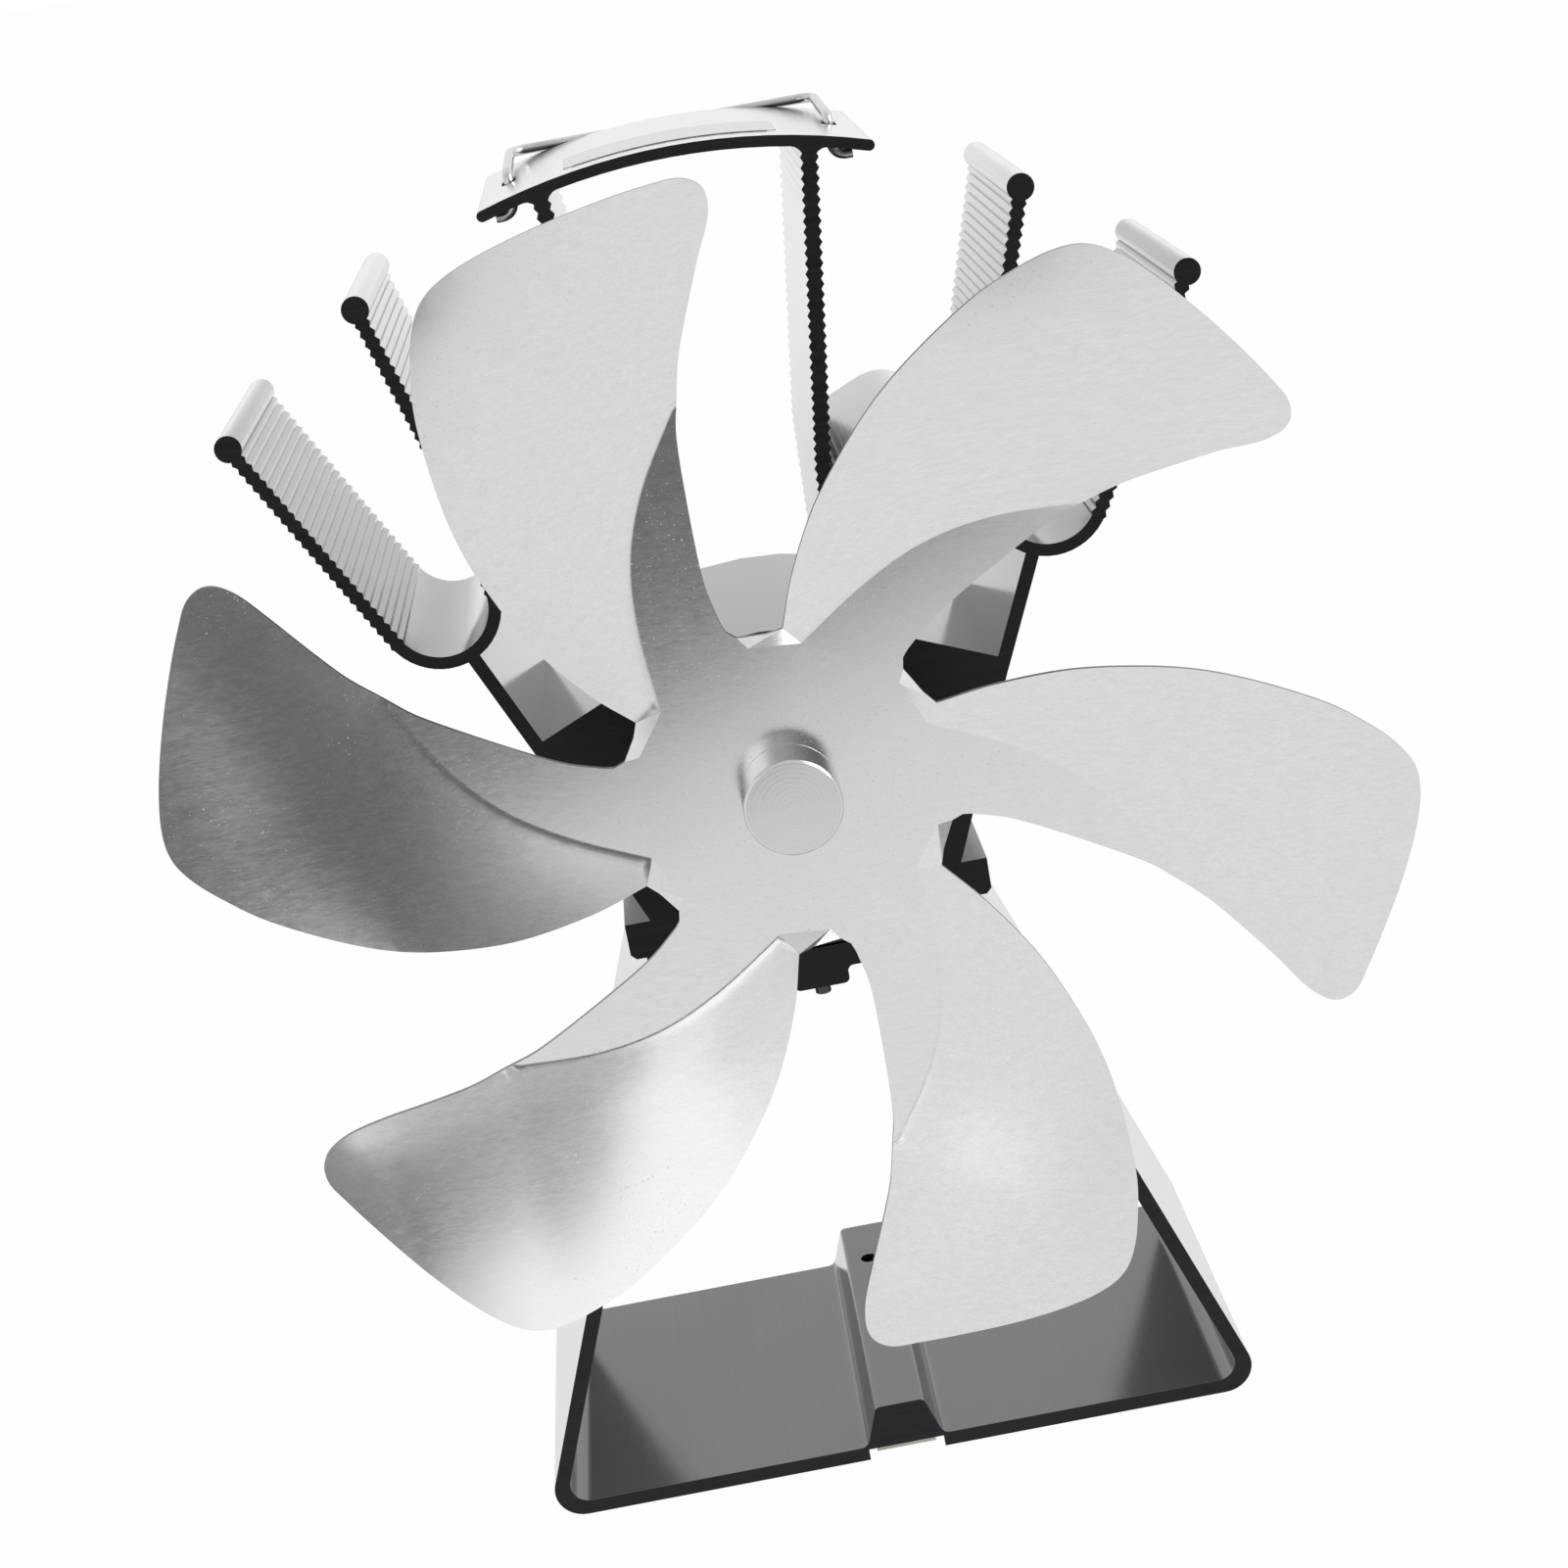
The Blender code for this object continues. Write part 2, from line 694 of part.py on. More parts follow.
def build_base(parts, tools):
    base = prism("base_frame", [base_outline(), base_window()], FRONT_Y, BASE_DEPTH)
    place(base, parts, "black_anodised")
    for y in screw_places():
        hole = rod(
            "screw_hole",
            (0, y, RIB_BOTTOM - CUT_OVERRUN),
            (0, y, PLATFORM_TOP + CUT_OVERRUN),
            TAPPED_HOLE_RADIUS,
            SMALL_ROUND_COUNT,
        )
        boolean(base, hole, "DIFFERENCE", tools)
    rivet_hole = rod(
        "rivet_hole",
        (0, RIVET_Y, -CUT_OVERRUN),
        (0, RIVET_Y, RIDGE_HEIGHT + CUT_OVERRUN),
        RIDGE_HOLE_RADIUS,
        MEDIUM_ROUND_COUNT,
    )
    boolean(base, rivet_hole, "DIFFERENCE", tools)


def build_bimetal(parts, tools):
    top = GROOVE_DEPTH - SEAT_GAP
    front = FRONT_Y + STRIP_FRONT_INSET
    strip = block(
        "bimetal_strip",
        (-STRIP_WIDTH / 2, front, top - STRIP_THICKNESS),
        (STRIP_WIDTH / 2, RIVET_Y + STRIP_TAIL, top),
    )
    hole = rod(
        "strip_hole",
        (0, RIVET_Y, -CUT_OVERRUN),
        (0, RIVET_Y, GROOVE_DEPTH + CUT_OVERRUN),
        RIVET_RADIUS + SEAT_GAP,
        SMALL_ROUND_COUNT,
    )
    boolean(strip, hole, "DIFFERENCE", tools)
    place(strip, parts, "bimetal")
    set_origin(strip, (0, RIVET_Y, top - STRIP_THICKNESS / 2))
    head_top = top - STRIP_THICKNESS - FACE_GAP
    screw = rod(
        "bimetal_rivet",
        (0, RIVET_Y, head_top - RIVET_HEAD),
        (0, RIVET_Y, head_top),
        RIVET_HEAD_RADIUS,
        MEDIUM_ROUND_COUNT,
    )
    shank = rod(
        "rivet_shank",
        (0, RIVET_Y, head_top - RIVET_HEAD / 2),
        (0, RIVET_Y, head_top + RIVET_LENGTH),
        RIVET_RADIUS,
        SMALL_ROUND_COUNT,
    )
    boolean(screw, shank, "UNION", tools)
    place(screw, parts, "screw_steel")


def set_origin(obj, point):
    """Puts an object's origin on its joint's axis, with its shape where it was."""
    obj.data.transform(Matrix.Translation(-Vector(point)))
    obj.location = point


# Thermoelectric stack


def square(half):
    return (-half, MODULE_Y - half), (half, MODULE_Y + half)


def layer(name, half, bottom, height, parts, finish):
    low, high = square(half)
    piece = block(name, (*low, bottom), (*high, bottom + height))
    return place(piece, parts, finish)


def build_module(parts, tools):
    half = MODULE_SIDE / 2
    at = PLATFORM_TOP + FACE_GAP
    for name, size, height, finish in (
        ("hot_pad", half, PAD, "graphite"),
        ("hot_plate", half, CERAMIC, "ceramic"),
        ("couple_slab", half - COUPLE_MARGIN, COUPLE_SLAB, "copper"),
        ("cold_plate", half, CERAMIC, "ceramic"),
        ("cold_pad", half, PAD, "graphite"),
    ):
        layer(name, size, at, height, parts, finish)
        at += height + FACE_GAP
    build_gasket(parts, tools)


def build_gasket(parts, tools):
    inset = SEAT_GAP
    low = PLATFORM_TOP + inset
    high = SINK_BOTTOM - inset
    gasket = block(
        "gasket",
        (-GASKET_HALF_WIDTH, FRONT_Y + inset, low),
        (GASKET_HALF_WIDTH, SINK_BACK_Y - inset, high),
    )
    half = MODULE_SIDE / 2 + SEAT_GAP
    cut_low, cut_high = square(half)
    below, above = low - CUT_OVERRUN, high + CUT_OVERRUN
    opening = block("module_opening", (*cut_low, below), (*cut_high, above))
    boolean(gasket, opening, "DIFFERENCE", tools)
    for y in screw_places():
        below, above = (0, y, low - CUT_OVERRUN), (0, y, high + CUT_OVERRUN)
        hole = rod("gasket_hole", below, above, SCREW_HOLE_RADIUS, SMALL_ROUND_COUNT)
        boolean(gasket, hole, "DIFFERENCE", tools)
    for x in (-LEAD_X, LEAD_X):
        slot = block(
            "lead_slot",
            (x - GASKET_SLOT_HALF, MODULE_Y, low - CUT_OVERRUN),
            (x + GASKET_SLOT_HALF, lead_hole_y() + GASKET_SLOT_HALF, high + CUT_OVERRUN),
        )
        boolean(gasket, slot, "DIFFERENCE", tools)
    place(gasket, parts, "gasket")


# Clamp screws


def screw_places():
    return FRONT_Y + SCREW_INSET, SINK_BACK_Y - SCREW_INSET


def screw_seat():
    """Height of the heads' seats, just under the motor bore."""
    return HUB_HEIGHT - BORE_RADIUS - SCREW_HEAD - SEAT_GAP


def build_clamp_screw(name, y, parts, tools):
    seat = screw_seat() + SEAT_GAP
    screw = rod(name, (0, y, seat), (0, y, seat + SCREW_HEAD), SCREW_HEAD_RADIUS, MEDIUM_ROUND_COUNT)
    shank = rod(
        "clamp_shank",
        (0, y, RIB_BOTTOM - SCREW_PROUD),
        (0, y, seat + SCREW_HEAD / 2),
        SCREW_THREAD_RADIUS,
        SMALL_ROUND_COUNT,
    )
    boolean(screw, shank, "UNION", tools)
    socket = rod(
        "hex_socket",
        (0, y, seat + SCREW_HEAD - HEX_DEPTH),
        (0, y, seat + SCREW_HEAD + CUT_OVERRUN),
        HEX_RADIUS,
        6,
    )
    boolean(screw, socket, "DIFFERENCE", tools)
    place(screw, parts, "screw_steel")


# Heat sink


def sink_block_outline():
    crest = BLOCK_CREST_HEIGHT
    foot = crest - POST_FOOT_DROP
    half = [
        (SINK_PLATE_HALF - SINK_CORNER, SINK_BOTTOM),
        (SINK_PLATE_HALF, SINK_BOTTOM + SINK_CORNER),
        (SINK_PLATE_HALF, SINK_PLATE_TOP),
        (NECK_HALF, SINK_PLATE_TOP),
        (stem_center(0)[0] + STEM / 2, BLOCK_SHOULDER_HEIGHT),
        (BLOCK_SHOULDER_HALF, BLOCK_SHOULDER_HEIGHT),
        (POST_X + POST / 2, foot),
        (POST_X - POST / 2, foot),
        (POST_X / 2, foot + (crest - foot) * CREST_FALL_SHARE),
        (0, crest),
    ]
    return mirrored(half)


def stem_center(end):
    """Foot (0) and top (1) of the stem's middle line."""
    if end:
        return STEM_TOP_X, GUTTER_HEIGHT - GUTTER_RADIUS - GUTTER_WALL / 2
    return BLOCK_SHOULDER_HALF + STEM / 2, BLOCK_SHOULDER_HEIGHT


def stem_path():
    foot, top = Vector(stem_center(0)), Vector(stem_center(1))
    down = (foot - top).normalized() * STEM
    return [foot + down, foot, top]


def gutter_path():
    """The U's middle line, from the outer fin's foot round to the inner fin's foot."""
    radius = GUTTER_RADIUS + GUTTER_WALL / 2
    center = (GUTTER_X, GUTTER_HEIGHT)
    outer = tangent_angle(center, radius, (OUTER_TIP_X, OUTER_TIP_HEIGHT), 1)
    inner = tangent_angle(center, radius, (INNER_BEND_X, INNER_BEND_HEIGHT), -1)
    return arc(center, radius, outer, inner, GUTTER_STEP)


def tangent_angle(center, radius, point, side):
    """Angle, in degrees, where a line from a point touches a circle."""
    away = Vector(point) - Vector(center)
    spread = atan2(sqrt(away.length_squared - radius**2), radius)
    angle = (atan2(away.y, away.x) - side * spread) * 180 / pi
    return angle if side > 0 else angle - 360


def fin_outlines():
    path = gutter_path()
    yield plain_band(path, GUTTER_WALL)
    outer = Vector((OUTER_TIP_X, OUTER_TIP_HEIGHT))
    inner = Vector((INNER_TIP_X, INNER_TIP_HEIGHT))
    yield ribbed_band([path[1], path[0], outer], FIN)
    yield ribbed_band([path[-2], path[-1], (INNER_BEND_X, INNER_BEND_HEIGHT), inner], FIN)
    yield circle(outer, TIP_RADIUS, TIP_ROUND_COUNT)
    yield circle(inner, TIP_RADIUS, TIP_ROUND_COUNT)


def arch_path():
    start = (POST_X, ARCH_START_HEIGHT)
    crest = (ARCH_CREST_X, ARCH_CREST_HEIGHT)
    end = (ARCH_END_X, ARCH_END_HEIGHT)
    between = (
        (start[0] + crest[0]) / 2,
        start[1] + (crest[1] - start[1]) * ARCH_RISE_SHARE,
    )
    return smooth_path([start, between, crest, end], ARCH_SPAN_COUNT)


def post_path():
    foot = (POST_X, BLOCK_CREST_HEIGHT - POST_FOOT_DROP - POST)
    bend_point = (POST_BEND_X, POST_BEND_HEIGHT)
    top = (POST_TOP_X, plate_height(POST_TOP_X) - HANDLE_PLATE / 2)
    return [foot, bend_point, top]


def plate_height(x):
    """Top of the arched handle plate at a distance from the middle."""
    return HANDLE_PLATE_CREST - HANDLE_PLATE_RISE * (x / HANDLE_PLATE_HALF) ** 2


def handle_plate_outline():
    middle = []
    for index in range(PLATE_SPAN_COUNT + 1):
        x = HANDLE_PLATE_HALF * (2 * index / PLATE_SPAN_COUNT - 1)
        middle.append((x, plate_height(x) - HANDLE_PLATE / 2))
    return plain_band(middle, HANDLE_PLATE)


def post_fillet_outline():
    """A wedge that rounds the post into the plate on both sides."""
    low = -HANDLE_PLATE / 2
    half = POST / 2 - FILLET_SINK
    right = arc((half + PLATE_FILLET, low - PLATE_FILLET), PLATE_FILLET, 180, 90, FILLET_STEP)
    right.append((half + PLATE_FILLET, 0))
    slope = -2 * HANDLE_PLATE_RISE * POST_TOP_X / HANDLE_PLATE_HALF**2
    middle = plate_height(POST_TOP_X) - HANDLE_PLATE / 2
    lean = (POST_TOP_X - POST_BEND_X) / (middle - POST_BEND_HEIGHT)
    both = right + [(-x, z) for x, z in reversed(right)]
    return [(POST_TOP_X + x + lean * z, middle + z + slope * x) for x, z in both]


def both_sides(outline):
    return outline, [(-x, z) for x, z in reversed(outline)]


def build_heat_sink(parts, tools):
    depth = SINK_DEPTH + 2 * CUT_OVERRUN
    sink = prism("heat_sink", [sink_block_outline()], FRONT_Y - CUT_OVERRUN, depth)
    place(sink, parts, "black_anodised")
    right_side = [plain_band(stem_path(), STEM), plain_band(arch_path(), ARCH_WEB)]
    right_side += [ribbed_band(post_path(), POST), post_fillet_outline()] + list(fin_outlines())
    webs = [side for outline in right_side for side in both_sides(outline)]
    webs.append(handle_plate_outline())
    end_height = plate_height(HANDLE_PLATE_HALF) - HANDLE_PLATE / 2
    for x in (-HANDLE_PLATE_HALF, HANDLE_PLATE_HALF):
        webs.append(circle((x, end_height), HANDLE_PLATE / 2, SMALL_ROUND_COUNT))
    for index, outline in enumerate(webs):
        spare = CUT_OVERRUN * (1 + (index + 1) / len(webs))
        web = prism(f"web_{index}", [outline], FRONT_Y - spare, SINK_DEPTH + 2 * spare)
        boolean(sink, web, "UNION", tools)
    for end, low, high in (
        ("front_end", FRONT_Y - SINK_DEPTH, FRONT_Y),
        ("back_end", SINK_BACK_Y, SINK_BACK_Y + SINK_DEPTH),
    ):
        reach = OUTER_TIP_X * 2
        trim = block(end, (-reach, low, 0), (reach, high, HANDLE_PLATE_CREST * 2))
        boolean(sink, trim, "DIFFERENCE", tools)
    for cutter in sink_cutters():
        boolean(sink, cutter, "DIFFERENCE", tools)


def lead_hole_y():
    return SINK_BACK_Y - LEAD_HOLE_INSET


def sink_cutters():
    middle = (0, HUB_HEIGHT)
    bore = circle(middle, BORE_RADIUS, FINE_ROUND_COUNT)
    yield prism("motor_bore", [bore], FRONT_Y - CUT_OVERRUN, SINK_DEPTH + 2 * CUT_OVERRUN)
    low = SINK_BOTTOM - CUT_OVERRUN
    for y in screw_places():
        yield rod("shank_hole", (0, y, low), (0, y, HUB_HEIGHT), SCREW_HOLE_RADIUS, SMALL_ROUND_COUNT)
        head = SCREW_HEAD_HOLE_RADIUS
        yield rod("head_hole", (0, y, screw_seat()), (0, y, HUB_HEIGHT), head, MEDIUM_ROUND_COUNT)
    for x in (-LEAD_X, LEAD_X):
        y = lead_hole_y()
        yield rod("lead_hole", (x, y, low), (x, y, HUB_HEIGHT), LEAD_HOLE_RADIUS, SMALL_ROUND_COUNT)
    slot_low = plate_height(HANDLE_PLATE_HALF) - HANDLE_PLATE - CUT_OVERRUN
    slot_height = HANDLE_PLATE_CREST - slot_low + CUT_OVERRUN
    for x in (-LEG_X, LEG_X):
        yield slab("handle_slot", slot_outline(x), slot_low, slot_height)


def slot_outline(x):
    """The long hole that a leg of the wire handle passes through."""
    half = WIRE_RADIUS + SLOT_CLEARANCE
    reach = SLOT_LENGTH / 2 - half
    back = arc((x, PIVOT_Y + reach), half, 0, 180, SLOT_STEP)
    return back + arc((x, PIVOT_Y - reach), half, 180, 360, SLOT_STEP)


# Wire handle


def pivot():
    return Vector((0, PIVOT_Y, plate_height(LEG_X) - HANDLE_PLATE / 2))


def handle_points():
    """The wire's middle line, from the left hook over the grip to the right hook."""
    center = pivot()
    leg_z = plate_height(LEG_X) + LEG_LIFT
    hook_z = plate_height(LEG_X) - HANDLE_PLATE - HOOK_DROP - HOOK_RADIUS
    grip_y = SINK_BACK_Y + WIRE_RADIUS + GRIP_CLEARANCE
    side = [
        (LEG_X + HOOK_RADIUS + HOOK_REACH, center.y, hook_z),
        (LEG_X, center.y, hook_z),
        (LEG_X, center.y, leg_z),
        (LEG_X, grip_y, leg_z + GRIP_LIFT),
    ]
    left = [(-x, y, z) for x, y, z in side]
    corners = left + side[::-1]
    radii = (HOOK_RADIUS, LEG_BEND, GRIP_BEND, GRIP_BEND, LEG_BEND, HOOK_RADIUS)
    return bend(corners, radii)


def build_handle(parts):
    handle = wire("carry_handle", handle_points(), WIRE_RADIUS, parts, "steel_wire", 3)
    set_origin(handle, tuple(pivot()))


# Fan sheet


def blade_frame(index):
    """Radial and clockwise unit directions of a blade, seen from the front."""
    angle = (BLADE_FIRST_ANGLE + 360 / BLADE_COUNT * index) * pi / 180
    return Vector((sin(angle), cos(angle))), Vector((cos(angle), -sin(angle)))


def blade_point(shares):
    return Vector(shares) * BLADE_REACH


def crease_line():
    """The bend between the flat spine and the raised paddle, root to edge."""
    return smooth_path([blade_point(pair) for pair in CREASE_SHARES], CREASE_SPAN_COUNT)


def rim_line():
    """The paddle's free edge, from its root round the tip to the end of the crease."""
    shares = (ROOT_SHARES,) + PADDLE_EDGE_SHARES + PADDLE_CORNER_SHARES + TIP_SHARES
    shares += SPINE_CORNER_SHARES + SPINE_EDGE_SHARES + CREASE_SHARES[-1:]
    return smooth_path([blade_point(pair) for pair in shares], RIM_SPAN_COUNT)


def bend_line():
    """Where the paddle leaves the flat: the crease and its line beyond its end."""
    return crease_line() + [blade_point(CREASE_ON_SHARES)]


def distance_to(line, point):
    best = None
    for first, last in zip(line, line[1:]):
        run = last - first
        share = max(0.0, min(1.0, (point - first).dot(run) / run.length_squared))
        away = (point - first - run * share).length
        best = away if best is None else min(best, away)
    return best


def rise(line, point):
    """How far forward of the flat a point of the paddle stands."""
    away = min(distance_to(line, point), PADDLE_FLAT_REACH)
    return PADDLE_SLOPE * away * (1 - away / (2 * PADDLE_FLAT_REACH))


def bend_share(index, point):
    """How much of the full bend a blade keeps at a point: two blades are flatter at the tip."""
    out = (point[0] / BLADE_REACH - BEND_START_SHARE) / (1 - BEND_START_SHARE)
    out = max(0.0, min(1.0, out))
    return 1 - (1 - BLADE_BEND_SHARES[index]) * out**2 * (3 - 2 * out)


def inside(outline, point):
    """Whether a point lies within a closed outline."""
    crossings = 0
    for first, last in zip(outline, outline[1:] + outline[:1]):
        if (first[1] > point[1]) != (last[1] > point[1]):
            share = (point[1] - first[1]) / (last[1] - first[1])
            crossings += point[0] < first[0] + (last[0] - first[0]) * share
    return crossings % 2 == 1


def on_sheet(index, point):
    """A blade's own point in the x and z of the whole sheet."""
    radial, clockwise = blade_frame(index)
    return radial * point[0] + clockwise * point[1]


def paddle_points():
    """Even rows of points over the paddle, clear of its edges."""
    border = crease_line() + rim_line()[::-1]
    closed = border + border[:1]
    rows = range(-ceil(BLADE_REACH / PADDLE_GRID), ceil(BLADE_REACH / PADDLE_GRID) + 1)
    spots = [Vector((across, up)) * PADDLE_GRID for across in rows for up in rows]
    clear = PADDLE_GRID * PADDLE_CLEAR_SHARE
    return [spot for spot in spots if inside(border, spot) and distance_to(closed, spot) > clear]


class SheetPlan:
    """The flat plan of the sheet: points with their rise, the outline and the folds."""

    def __init__(self):
        self.points, self.rises, self.edges, self.outline = [], [], [], []
        self.line = bend_line()

    def add(self, index, point, lift_share=0):
        """Adds a point that is raised by a share of the paddle's rise there."""
        self.points.append(on_sheet(index, point))
        lift = lift_share * bend_share(index, point)
        self.rises.append(lift * rise(self.line, Vector(point)))
        return len(self.points) - 1

    def chain(self, corners):
        self.edges += list(zip(corners, corners[1:]))

    def add_blade(self, index):
        crease = [self.add(index, point) for point in crease_line()]
        rim = [self.add(index, point, 1) for point in rim_line()[:-1]] + crease[-1:]
        notch = self.add(index, blade_point(NOTCH_SHARES))
        lip = self.add(index, blade_point(LIP_SHARES), LIP_RISE_SHARE)
        side = self.add(index, blade_point(LIP_SIDE_SHARES))
        for pair in GULLET_SHARES:
            self.outline.append(self.add(index - 1, blade_point(pair)))
        self.outline += [side, lip] + rim
        self.outline += [self.add(index, blade_point(pair)) for pair in FLAT_EDGE_SHARES]
        self.chain([side, notch] + crease)
        self.chain([lip, notch, rim[0], crease[0]])
        for spot in paddle_points():
            self.add(index, spot, 1)

    def add_hole(self):
        ring = circle((0, 0), SHAFT_RADIUS + SHEET_BORE_CLEARANCE, MEDIUM_ROUND_COUNT)
        first = len(self.points)
        self.points += [Vector(point) for point in ring]
        self.rises += [0.0] * len(ring)
        self.chain(list(range(first, first + len(ring))) + [first])
        return ring

    def triangles(self):
        """Corners and triangles of the plan, without the shaft hole."""
        hole = self.add_hole()
        self.chain(self.outline + self.outline[:1])
        made = delaunay_2d_cdt(self.points, self.edges, [], 1, WELD / 100)
        corners, faces, sources = made[0], made[2], made[3]
        outline = [self.points[corner] for corner in self.outline]
        kept = []
        for face in faces:
            middle = sum((corners[corner] for corner in face), Vector((0, 0))) / 3
            if inside(outline, middle) and not inside(hole, middle):
                kept.append(face)
        return corners, [self.rises[source[0]] for source in sources], kept


def build_blades(parts):
    plan = SheetPlan()
    for index in range(BLADE_COUNT):
        plan.add_blade(index)
    corners, rises, faces = plan.triangles()
    shape = bmesh.new()
    front = [shape.verts.new((at.x, -up, at.y)) for at, up in zip(corners, rises)]
    for face in faces:
        shape.faces.new([front[corner] for corner in face])
    bmesh.ops.delete(shape, geom=[v for v in shape.verts if not v.link_faces], context="VERTS")
    back = bmesh.ops.extrude_face_region(shape, geom=shape.faces[:], use_keep_orig=True)
    moved = [item for item in back["geom"] if isinstance(item, bmesh.types.BMVert)]
    bmesh.ops.translate(shape, verts=moved, vec=(0, SHEET, 0))
    sheet = mesh_object("fan_blades", shape)
    sheet.location = (0, BLADE_Y, HUB_HEIGHT)
    place(sheet, parts, "brushed_aluminium")
    smooth(sheet, 25.0)


# Knob, flange and grub screw on the shaft


def build_knob(parts):
    back = BLADE_Y - FACE_GAP
    front = BLADE_Y - KNOB_LENGTH
    bore = SHAFT_RADIUS + RUNNING_GAP
    profile = [
        (back, bore),
        (back, KNOB_RADIUS),
        (front + KNOB_CHAMFER, KNOB_RADIUS),
        (front, KNOB_RADIUS - KNOB_CHAMFER),
        (front, 0),
        (front + KNOB_LENGTH / 3, 0),
        (front + KNOB_LENGTH / 3, bore),
        (back, bore),
    ]
    turned("hub_knob", profile[::-1], parts, "turned_aluminium", FINE_ROUND_COUNT)


def build_flange(parts, tools):
    front = BLADE_Y + SHEET + FACE_GAP
    bore = SHAFT_RADIUS + RUNNING_GAP
    boss_end = front + FLANGE + FLANGE_BOSS
    profile = [
        (front, bore),
        (front, FLANGE_RADIUS),
        (front + FLANGE, FLANGE_RADIUS),
        (front + FLANGE, FLANGE_BOSS_RADIUS),
        (boss_end, FLANGE_BOSS_RADIUS),
        (boss_end, bore),
        (front, bore),
    ]
    flange = turned("hub_flange", profile, parts, "turned_aluminium")
    middle = front + FLANGE + FLANGE_BOSS / 2
    seat = SHAFT_RADIUS + 2 * RUNNING_GAP
    reach = FLANGE_BOSS_RADIUS + CUT_OVERRUN
    hole = rod(
        "grub_hole",
        (0, middle, HUB_HEIGHT + SHAFT_RADIUS / 2),
        (0, middle, HUB_HEIGHT + reach),
        GRUB_RADIUS + RUNNING_GAP,
        SMALL_ROUND_COUNT,
    )
    boolean(flange, hole, "DIFFERENCE", tools)
    grub = rod(
        "grub_screw",
        (0, middle, HUB_HEIGHT + seat),
        (0, middle, HUB_HEIGHT + seat + GRUB_LENGTH),
        GRUB_RADIUS,
        SMALL_ROUND_COUNT,
    )
    socket = rod(
        "grub_socket",
        (0, middle, HUB_HEIGHT + seat + GRUB_LENGTH / 2),
        (0, middle, HUB_HEIGHT + seat + GRUB_LENGTH + CUT_OVERRUN),
        GRUB_RADIUS / 2,
        6,
    )
    boolean(grub, socket, "DIFFERENCE", tools)
    place(grub, parts, "screw_steel")


# Motor in the bore of the heat sink


def ring(name, front, back, inner, outer, parts, finish, count=ROUND_COUNT):
    profile = [(front, inner), (front, outer), (back, outer), (back, inner), (front, inner)]
    return turned(name, profile, parts, finish, count)


def build_can(parts):
    hole = BEARING_RADIUS + FACE_GAP
    front = MOTOR_FRONT
    inner = MOTOR_RADIUS - CAN_WALL
    profile = [
        (front - CAN_BOSS, hole),
        (front - CAN_BOSS, CAN_BOSS_RADIUS),
        (front, CAN_BOSS_RADIUS),
        (front, MOTOR_RADIUS - CAN_EDGE),
        (front + CAN_EDGE, MOTOR_RADIUS),
        (MOTOR_BACK, MOTOR_RADIUS),
        (MOTOR_BACK, inner),
        (front + CAN_WALL, inner),
        (front + CAN_WALL, hole),
        (front - CAN_BOSS, hole),
    ]
    turned("motor_can", profile, parts, "motor_steel", FINE_ROUND_COUNT)


def build_bearings(parts):
    bore = SHAFT_RADIUS + RUNNING_GAP
    front = MOTOR_FRONT - CAN_BOSS
    ring("front_bearing", front, front + BEARING_LENGTH, bore, BEARING_RADIUS, parts, "bronze")
    back = MOTOR_BACK + END_CAP + END_CAP_BOSS
    ring("rear_bearing", back - BEARING_LENGTH, back, bore, BEARING_RADIUS, parts, "bronze")


def build_end_cap(parts, tools):
    front = MOTOR_BACK + FACE_GAP
    back = MOTOR_BACK + END_CAP
    hole = BEARING_RADIUS + FACE_GAP
    profile = [
        (front, hole),
        (front, MOTOR_RADIUS),
        (back, MOTOR_RADIUS),
        (back, END_CAP_BOSS_RADIUS),
        (back + END_CAP_BOSS, END_CAP_BOSS_RADIUS),
        (back + END_CAP_BOSS, hole),
        (front, hole),
    ]
    cap = turned("motor_end_cap", profile, parts, "dark_plastic", FINE_ROUND_COUNT)
    for name, x in (("terminal_left", -TERMINAL_X), ("terminal_right", TERMINAL_X)):
        low = Vector((x - TERMINAL_THICKNESS / 2, front, HUB_HEIGHT - TERMINAL_WIDTH / 2))
        high = Vector((x + TERMINAL_THICKNESS / 2, back + TERMINAL_LENGTH, HUB_HEIGHT))
        high.z += TERMINAL_WIDTH / 2
        place(block(name, low, high), parts, "brass")
        spare = Vector((FACE_GAP, CUT_OVERRUN, FACE_GAP))
        boolean(cap, block("terminal_slot", low - spare, high + spare), "DIFFERENCE", tools)


def build_magnets(parts):
    outer = MOTOR_RADIUS - CAN_WALL - FACE_GAP
    inner = outer - MAGNET
    for name, middle in (("magnet_left", 180), ("magnet_right", 0)):
        low, high = middle - MAGNET_HALF_ANGLE, middle + MAGNET_HALF_ANGLE
        outline = arc((0, HUB_HEIGHT), outer, low, high) + arc((0, HUB_HEIGHT), inner, high, low)
        magnet = prism(name, [outline], ARMATURE_MIDDLE - MAGNET_LENGTH / 2, MAGNET_LENGTH)
        place(magnet, parts, "magnet")


def armature_slot(angle, width, inner, outer):
    """A straight slot or bar across the armature's rim, as an outline."""
    radial = Vector((cos(angle), sin(angle)))
    side = Vector((-radial.y, radial.x)) * (width / 2)
    middle = Vector((0, HUB_HEIGHT))
    corners = (inner, -1), (outer, -1), (outer, 1), (inner, 1)
    return [tuple(middle + radial * reach + side * sign) for reach, sign in corners]


